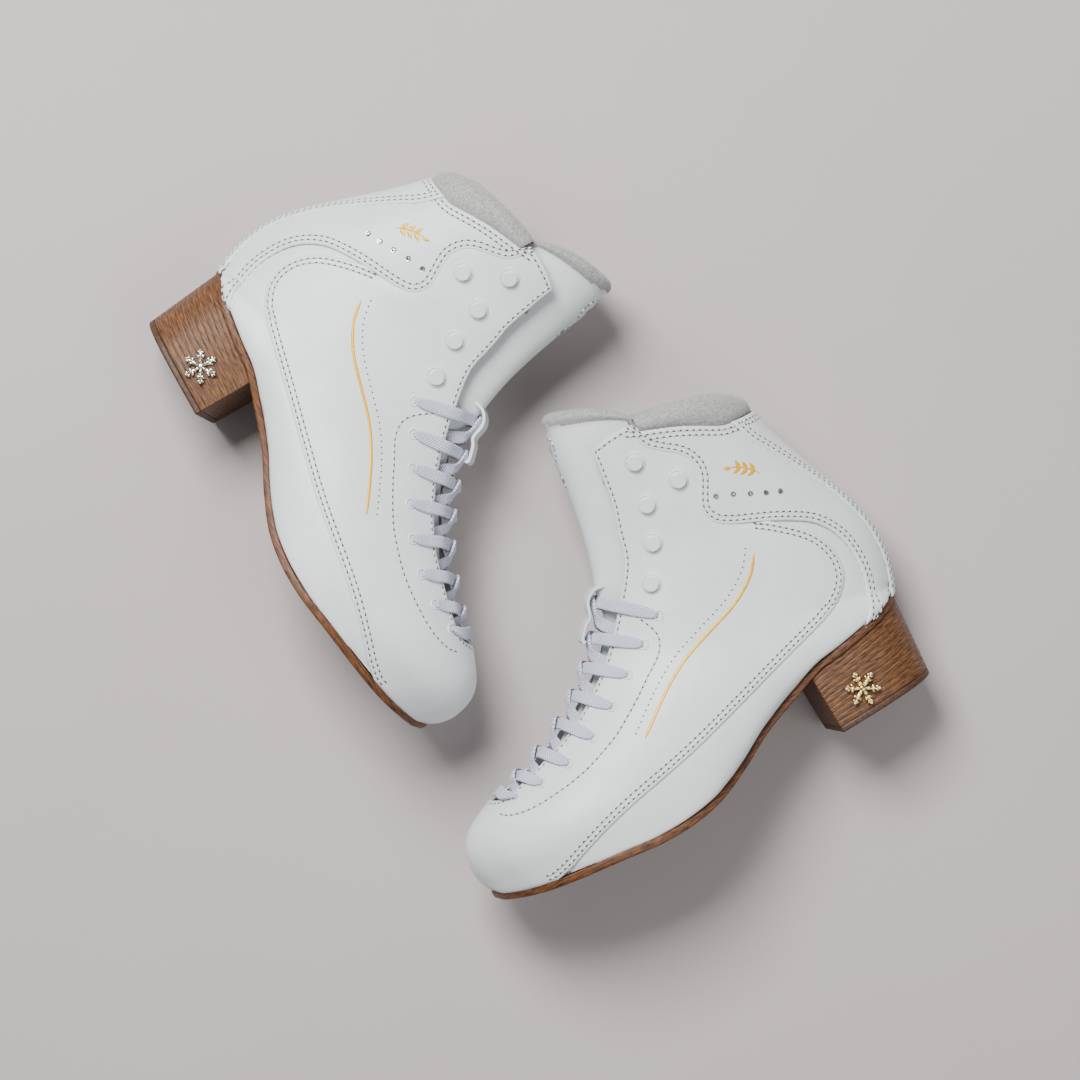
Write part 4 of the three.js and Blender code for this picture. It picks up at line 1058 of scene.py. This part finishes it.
def lace_places(first_side):
    """One end of the lace from the bar at the toe to the top eyelet: (place, facing, width, thickness)."""
    flat, gathered = (LACE_WIDTH, LACE_THICK), (LACE_WIDTH * 0.4, LACE_THICK * 1.7)
    riding = QUARTER_LIFT + LACE_THICK / 2 + 0.15
    face = np.array([0.55, 0, 0.83])
    places = []

    def skin(place, side, lift, size):
        at = to_chart("front", [place], side)
        places.append((on_skin("front", at, lift)[0], slopes("front", at)[2][0], *size))

    def centre(place, y, lift):
        x, z = place
        places.append((np.array([x, y - swing(x), z]) + face * lift, face, *flat))

    def between(a, b, k):
        return (a[0] + (b[0] - a[0]) * k, a[1] + (b[1] - a[1]) * k)

    side = first_side
    centre(LACE_BAR, 0, 0)
    skin((234, 63.5), side, riding + 0.6, flat)
    skin(EYELETS[7], side, riding, gathered)
    skin(EYELETS[7], side, -LACE_UNDER, gathered)
    for i in range(6, -1, -1):
        below = LACE_BAR if i == 6 else CROSSINGS[i + 1]
        emerge = between(CROSSINGS[i], below, 0.5)
        skin(between(EYELETS[i + 1], emerge, 0.45), side, -LACE_UNDER, flat)
        centre(emerge, side * 5.2, -3.6)
        lift = side * (LACE_THICK * 0.55 + 0.2)
        centre(between(CROSSINGS[i], emerge, 0.25), side * 2.4, lift)
        side = -side
        centre(CROSSINGS[i], side * 2.4, lift)
        skin(between(CROSSINGS[i], EYELETS[i], 0.3), side, riding + 0.5, flat)
        skin(between(CROSSINGS[i], EYELETS[i], 0.66), side, riding, flat)
        skin(between(CROSSINGS[i], EYELETS[i], 0.88), side, riding, (LACE_WIDTH * 0.8, LACE_THICK * 1.2))
        skin(between(CROSSINGS[i], EYELETS[i], 0.96), side, riding - 0.9, gathered)
        skin(EYELETS[i], side, -LACE_UNDER, gathered)
    return places


def strap(places, per_span=6, sides=14):
    """A flat braid through the places, with its length along u of the grain map."""
    count = (len(places) - 1) * per_span + 1
    at = np.linspace(0, len(places) - 1, count)
    points = spline([p[0] for p in places], at)
    number = np.arange(len(places))
    ups = resample(at, number, [p[1] for p in places])
    width = np.interp(at, number, [p[2] for p in places])
    thick = np.interp(at, number, [p[3] for p in places])
    _, across, up = frames(points, ups)
    angle = np.linspace(0, 2 * math.pi, sides, endpoint=False)
    c, s = np.cos(angle), np.sin(angle)
    flat_x = np.sign(c) * np.abs(c) ** 0.6
    flat_y = np.sign(s) * np.abs(s) ** 0.75 * (1 - 0.25 * np.cos(flat_x * math.pi))
    rings = (points[:, None] + across[:, None] * (flat_x[None, :] * width[:, None] / 2)[..., None]
             + up[:, None] * (flat_y[None, :] * thick[:, None] / 2)[..., None])
    mesh_points, faces = loft(rings, cap=True)
    length = arc_length(points)
    uv = np.stack(np.broadcast_arrays(length[:, None] * MM, flat_x[None, :] * LACE_WIDTH / 2 * MM), axis=-1)
    return mesh_points, faces, uv.reshape(-1, 2)


# ---------- hardware and ornament ----------


def turned(profile, seat, normal, sides=32):
    """A turned piece: profile is (radius, height) from the leather up."""
    side = np.cross(normal, (1, 0, 0.2))
    side /= np.linalg.norm(side)
    other = np.cross(normal, side)
    angle = np.linspace(0, 2 * math.pi, sides, endpoint=False)
    rings = [[seat + side * (r * math.cos(q)) + other * (r * math.sin(q)) + normal * h for q in angle]
             for r, h in profile]
    return loft(rings, cap=True)


def seat_on_skin(place, side, lift=0.0):
    at = to_chart("front", [place], side)
    return on_skin("front", at, lift)[0], slopes("front", at)[2][0]


STUD_PROFILE = [(5.5, -0.4), (5.55, 0.3), (5.3, 0.75), (5.0, 0.8), (4.6, 0.3), (4.35, 0.3), (4.35, 1.9),
                (4.15, 2.4), (3.7, 2.65), (3.3, 2.6), (2.4, 2.6), (1.2, 2.62), (0.3, 2.62)]
EYELET_PROFILE = [(3.0, -0.5), (3.05, 0.15), (2.8, 0.42), (2.4, 0.45), (2.05, 0.2), (1.95, -0.6), (0.3, -0.7)]
EYELET_SIDES = 20


def stud_mesh(place, side):
    return turned(STUD_PROFILE, *seat_on_skin(place, side, QUARTER_LIFT))


def eyelet_mesh():
    meshes = [turned(EYELET_PROFILE, *seat_on_skin(place, side, QUARTER_LIFT + 0.05), sides=EYELET_SIDES)
              for place in EYELETS for side in SIDES]
    points, faces = join(*meshes)
    per = len(faces) // len(meshes)
    bands = len(EYELET_PROFILE) - 1
    # the inner wall and floor of each eyelet take the dark colour: painted shade inside the hole
    part = [1 if i % per >= EYELET_SIDES * (bands - 2) else 0 for i in range(len(faces))]
    return points, faces, part


GOLD_WIDTH = 1.75
GOLD_LINE = [(58, 106), (66, 97), (80, 89), (98, 83.5), (116, 78), (132, 70.5), (146, 62), (158, 54)]
DOTS_ASIDE = (2.6, 4.4)
DOT_PITCH = 3.3


def foil(path, width, lift=0.12, leaf=False):
    """A raised line of foil over the leather, or a leaf that swells to its middle."""
    at = even("front", to_chart("front", path), 0.4 if leaf else 1.2)
    points = on_skin("front", at, QUARTER_LIFT + lift)
    k = np.linspace(0, 1, len(at))
    if leaf:
        width = width * (0.12 + 0.88 * np.sin(math.pi * k**0.8))
    else:
        width = width * np.clip(np.minimum(k, 1 - k) * len(at) / 5 + 0.3, 0, 1)
    _, across, up = frames(points, slopes("front", at)[2])
    section = [(-0.5, -0.35), (-0.42, 0.05), (-0.2, 0.2), (0, 0.24), (0.2, 0.2), (0.42, 0.05), (0.5, -0.35)]
    rings = np.stack([points + across * (a * width)[:, None] + up * (b * 0.9) for a, b in section], axis=1)
    return loft(rings, cap=True)


def gold_mesh():
    """A plain gold line that sweeps from the quarter down to the vamp."""
    return foil(smooth(GOLD_LINE, 120), GOLD_WIDTH)


def dots_mesh():
    """The row of small pricked holes beside the gold line, each drawn as a dark dot of painted shade."""
    path = smooth([(x + DOTS_ASIDE[0], z + DOTS_ASIDE[1]) for x, z in GOLD_LINE], 120)
    at = even("front", to_chart("front", path), DOT_PITCH)
    centre, normal = on_skin("front", at, QUARTER_LIFT + 0.02), slopes("front", at)[2]
    along, across, _ = frames(centre, normal)
    return hole_shade_mesh([(c, a * 0.48, b, n) for c, a, b, n in zip(centre, along, across, normal)], 0.96)


SPRIG_AT, SPRIG_TURN = (40, 147), 40
SPRIG_STEM = [(-9, -1), (-3, 0.3), (3, 0.3), (8, -0.8)]
SPRIG_LEAVES = (-6, -2, 2)
LEAF_LENGTH, LEAF_WIDTH, LEAF_LEAN = 5.0, 2.4, 45


def sprig_mesh():
    """A small sprig of paired leaves in foil on the ankle panel."""
    turn = math.radians(SPRIG_TURN)
    rotate = np.array([[math.cos(turn), -math.sin(turn)], [math.sin(turn), math.cos(turn)]])

    def at(path):
        return np.asarray(path, float) @ rotate.T + SPRIG_AT

    shapes = [foil_back(at(smooth(SPRIG_STEM, 30)), 0.9)]
    for x in SPRIG_LEAVES:
        for side in SIDES:
            lean = math.radians(side * LEAF_LEAN)
            tip = (x + LEAF_LENGTH * math.cos(lean), LEAF_LENGTH * math.sin(lean))
            shapes.append(foil_back(at(smooth([(x, 0), tip], 12)), LEAF_WIDTH, True))
    tip = SPRIG_STEM[-1][0]
    shapes.append(foil_back(at(smooth([(tip - 1, -1.0), (tip + 3, -1.6)], 12)), LEAF_WIDTH, True))
    return join(*shapes)


def foil_back(path, width, leaf=False):
    """Foil on the ankle panel, which stands a little higher than the quarter."""
    return foil(path, width, ANKLE_LIFT - QUARTER_LIFT + 0.1, leaf)


CRYSTALS = [(29, 126.5), (36, 130), (43.5, 134), (51.5, 138.5), (60, 142.3)]


def crystal_mesh():
    """Faceted stones, each in a low setting."""
    gems, settings = [], []
    for place in CRYSTALS:
        seat, normal = seat_on_skin(place, 1, ANKLE_LIFT)
        settings.append(turned([(1.55, -0.2), (1.6, 0.25), (1.35, 0.5), (1.0, 0.45)], seat, normal, 20))
        gems.append(turned([(1.25, 0.3), (1.2, 0.62), (0.65, 1.0), (0.2, 1.02)], seat, normal, 8))
    return join(*settings), join(*gems)


ORNAMENT_AT, ORNAMENT_RADIUS = (45, 15), 9.5
BEAD_PROFILE = [(0.3, 0.2), (0.72, 0.6), (0.8, 0.95), (0.6, 1.35), (0.2, 1.52)]


def heel_face(x, z):
    """A place on the outer face of the heel and how far the ornament stands off it."""
    drop = 1 - z / HEEL_TOP
    y = (sole_half(np.array([x]))[0] - SEAT_INSET) * (1 - HEEL_TAPER * drop)
    return np.array([x, y + 0.9, z])


def ornament_mesh():
    """A six-armed snow star with rounded arms, barbs and beads."""
    centre = heel_face(*ORNAMENT_AT)
    bars, beads = [], []

    def place(u, v, out):
        return centre + np.array([u, out, v])

    for arm in range(6):
        q = arm * math.pi / 3 + math.pi / 6
        along = np.array([math.cos(q), math.sin(q)])
        pieces = [(along * 0.5, along * (ORNAMENT_RADIUS - 0.8), 2.2)]
        for reach, size in ((0.48, 2.9), (0.74, 2.2)):
            for lean in (-1, 1):
                tip = np.array([math.cos(q + lean * 0.9), math.sin(q + lean * 0.9)]) * size
                pieces.append((along * ORNAMENT_RADIUS * reach, along * ORNAMENT_RADIUS * reach + tip, 1.7))
        for a, b, width in pieces:
            path = np.array([place(*(a + (b - a) * k), 0.5) for k in np.linspace(0, 1, 6)])
            bars.append(tube(path, np.tile([0.0, 1.0, 0.0], (6, 1)), width, 1.5, 8))
        for reach in (0.3, 0.6, 0.92):
            seat = place(*(along * ORNAMENT_RADIUS * reach), 0.35)
            beads.append(turned(BEAD_PROFILE, seat, np.array([0.0, 1.0, 0.0]), 14))
    bars.append(turned([(1.7, -0.1), (1.8, 0.5), (1.5, 1.1), (0.9, 1.3), (0.2, 1.35)], place(0, 0, 0.1),
                       np.array([0.0, 1.0, 0.0]), 18))
    return join(*bars), join(*beads)


KEEPER_WIDTH, KEEPER_THICK, KEEPER_STEPS = 16, 1.7, 60


def keeper_mesh():
    """The leather strip that the laces pass under at the top of the instep."""
    outline = [(127, 128.4), (132.4, 130.8), (137.5, 131.6), (143.2, 128.2), (146.5, 120.5), (150.5, 118),
               (156, 112.5), (155.5, 110.5)]
    path = smooth(outline, KEEPER_STEPS)
    points = np.stack([path[:, 0], np.zeros(KEEPER_STEPS), path[:, 1]], axis=1)
    along = np.gradient(points, axis=0)
    ups = np.cross(along, (0, 1, 0)) * -1
    ups /= np.linalg.norm(ups, axis=1, keepdims=True)
    section = [(-0.5, -0.5), (-0.5, 0.2), (-0.46, 0.5), (0.46, 0.5), (0.5, 0.2), (0.5, -0.5)]
    rings = [points + np.array([0, KEEPER_WIDTH * a, 0]) + ups * KEEPER_THICK * b for a, b in section]
    rings = np.stack(rings, axis=1)
    return loft(rings, cap=True)


# ---------- the boots ----------


def build_boot(boot, shared):
    name = boot.name

    def piece(part, mesh, look, slot, nodes=(), sharp=None, body="root"):
        points, faces, *more = mesh
        uv = more[0] if more and np.ndim(more[0]) == 2 else None
        part_of = more[-1] if more and np.ndim(more[-1]) == 1 else None
        made = add_mesh(f"{name}_{part}", points, faces, look, boot, body, slot, uv, part_of, sharp)
        if nodes:
            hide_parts(*(f"{name}_{node}" for node in nodes))
        return made

    panels, threads, holes = shared["leather"]
    for part, (points, faces, nodes) in panels.items():
        piece(part + "_leather", (points, faces), LEATHER, "white_leather", nodes)
    piece("stitching", thread_mesh(threads), THREAD, "white_leather")
    # the needle holes: dark marks of painted shade
    piece("stitch_hole_shade", hole_shade_mesh(holes), HOLE_SHADE, "white_leather")
    piece("toe_turn_in", shared["turn_in"], LEATHER, "white_leather")
    piece("smooth_lining", shared["lining"], SUEDE, "suede", ["lining"])

    piece("sole_board", shared["sole"][:3], SOLE_EDGE, "sole_leather", ["outsole"])
    piece("stacked_heel", shared["heel"], [STACK, STACK_LINE], "stacked_heel", ["heel_block"])
    piece("top_piece", shared["lift"][:3], TOP_LIFT, "top_lift", ["heel_top_lift"])

    collar = piece("collar_roll", shared["collar"], SUEDE, "suede", ["collar_pad"])
    tongue = piece("tongue", shared["tongue"], [LEATHER, SUEDE], "white_leather",
                   ["tongue_lower", "tongue_upper"], body=None)
    points = boot.world([(139.5, 0, 126), (126.5, 0, 150)])
    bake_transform(tongue)
    threads, holes = shared["tongue_trim"]
    piece("tongue_stitching", threads, THREAD, "white_leather", body=name + "_tongue")
    # the tongue's slits: dark marks of painted shade
    piece("tongue_slit_shade", holes, HOLE_SHADE, "white_leather", body=name + "_tongue")
    piece("lace_keeper", keeper_mesh(), LEATHER, "white_leather", sharp=40)

    for index, first in enumerate(SIDES):
        piece(f"lace_{'ab'[index]}", strap(lace_places(first)), LACE, "lace_cloth", [] if index else ["lace"])
    for number, place in enumerate(STUDS, 1):
        for side, word in ((1, "outer"), (-1, "inner")):
            piece(f"stud_{word}_{number}", stud_mesh(place, side), ENAMEL, "stud_enamel",
                  [f"lace_stud_{word}_{number}"], sharp=50)
    piece("eyelets", eyelet_mesh(), [ENAMEL, HOLE_SHADE], "stud_enamel", sharp=50)

    piece("gold_line", gold_mesh(), GOLD_FOIL, "white_leather")
    # a row of dark dots of painted shade beside the gold line
    piece("perforation_shade", dots_mesh(), HOLE_SHADE, "white_leather")
    piece("leaf_sprig", sprig_mesh(), GOLD_FOIL, "white_leather")
    settings, gems = crystal_mesh()
    piece("crystal_settings", settings, SILVER, "white_leather", sharp=40)
    piece("crystals", gems, CRYSTAL, "white_leather", sharp=15)
    bars, beads = ornament_mesh()
    metal, dots = (GOLD, PEARL) if name == "left" else (SILVER, GOLD)
    piece("snow_star", bars, metal, name + "_ornament_metal", ["heel_ornament"], sharp=50)
    piece("star_beads", beads, dots, name + "_ornament_metal", sharp=50)

    for node, look in (("insole_board", BOARD), ("shank", STEEL), ("footbed", SUEDE), ("heel_counter", BOARD),
                       ("toe_box", BOARD), ("lining", SUEDE)):
        materials = frame["nodes"][f"{name}_{node}"].data.materials
        materials.clear()
        materials.append(look)


shared = {
    "leather": upper_leather(),
    "lining": lining_mesh(),
    "turn_in": toe_turn_in(),
    "sole": sole_mesh(),
    "heel": heel_mesh(),
    "lift": lift_mesh(),
    "collar": collar_mesh(),
    "tongue": tongue_mesh(),
    "tongue_trim": tongue_trim(),
}
for boot in BOOTS:
    build_boot(boot, shared)


# ---------- floor, light and camera ----------
FLOOR = plain_look("pale_floor", (0.5, 0.455, 0.44), (0.53, 0.485, 0.47), 0.85, scale=3, depth=0.0001)
FLOOR_REACH = 4000
corners = [(x * FLOOR_REACH, y * FLOOR_REACH, 0) for x, y in ((-1, -1), (1, -1), (1, 1), (-1, 1))]
floor = add_mesh("floor", corners, [(0, 1, 2, 3)], FLOOR, body=None)


def softbox(name, place, target, size, watts):
    light = bpy.data.lights.new(name, "AREA")
    light.shape = "RECTANGLE"
    light.size, light.size_y = size
    light.energy = watts
    lamp = bpy.data.objects.new(name, light)
    bpy.context.scene.collection.objects.link(lamp)
    lamp.location = place
    lamp.rotation_euler = (Vector(target) - Vector(place)).to_track_quat("-Z", "Y").to_euler()
    return lamp


softbox("key", (-0.5, 0.9, 1.5), (0, 0, 0), (0.8, 0.8), 58)
softbox("fill", (0.9, -0.7, 1.4), (0, 0, 0), (1.2, 1.2), 10)
world = bpy.data.worlds.new("studio")
world.use_nodes = True
world.node_tree.nodes["Background"].inputs["Color"].default_value = (0.9, 0.93, 1.0, 1)
world.node_tree.nodes["Background"].inputs["Strength"].default_value = 0.24
bpy.context.scene.world = world

CAMERA_HEIGHT, MIDDLE_HEIGHT, VIEW_WIDTH, SENSOR = 2.2, 0.045, 0.572, 36.0
camera_data = bpy.data.cameras.new("camera")
camera_data.sensor_width = SENSOR
camera_data.lens = SENSOR * (CAMERA_HEIGHT - MIDDLE_HEIGHT) / VIEW_WIDTH
camera = bpy.data.objects.new("camera", camera_data)
bpy.context.scene.collection.objects.link(camera)
camera.location = (0.0002, -0.002, CAMERA_HEIGHT)
bpy.context.scene.camera = camera
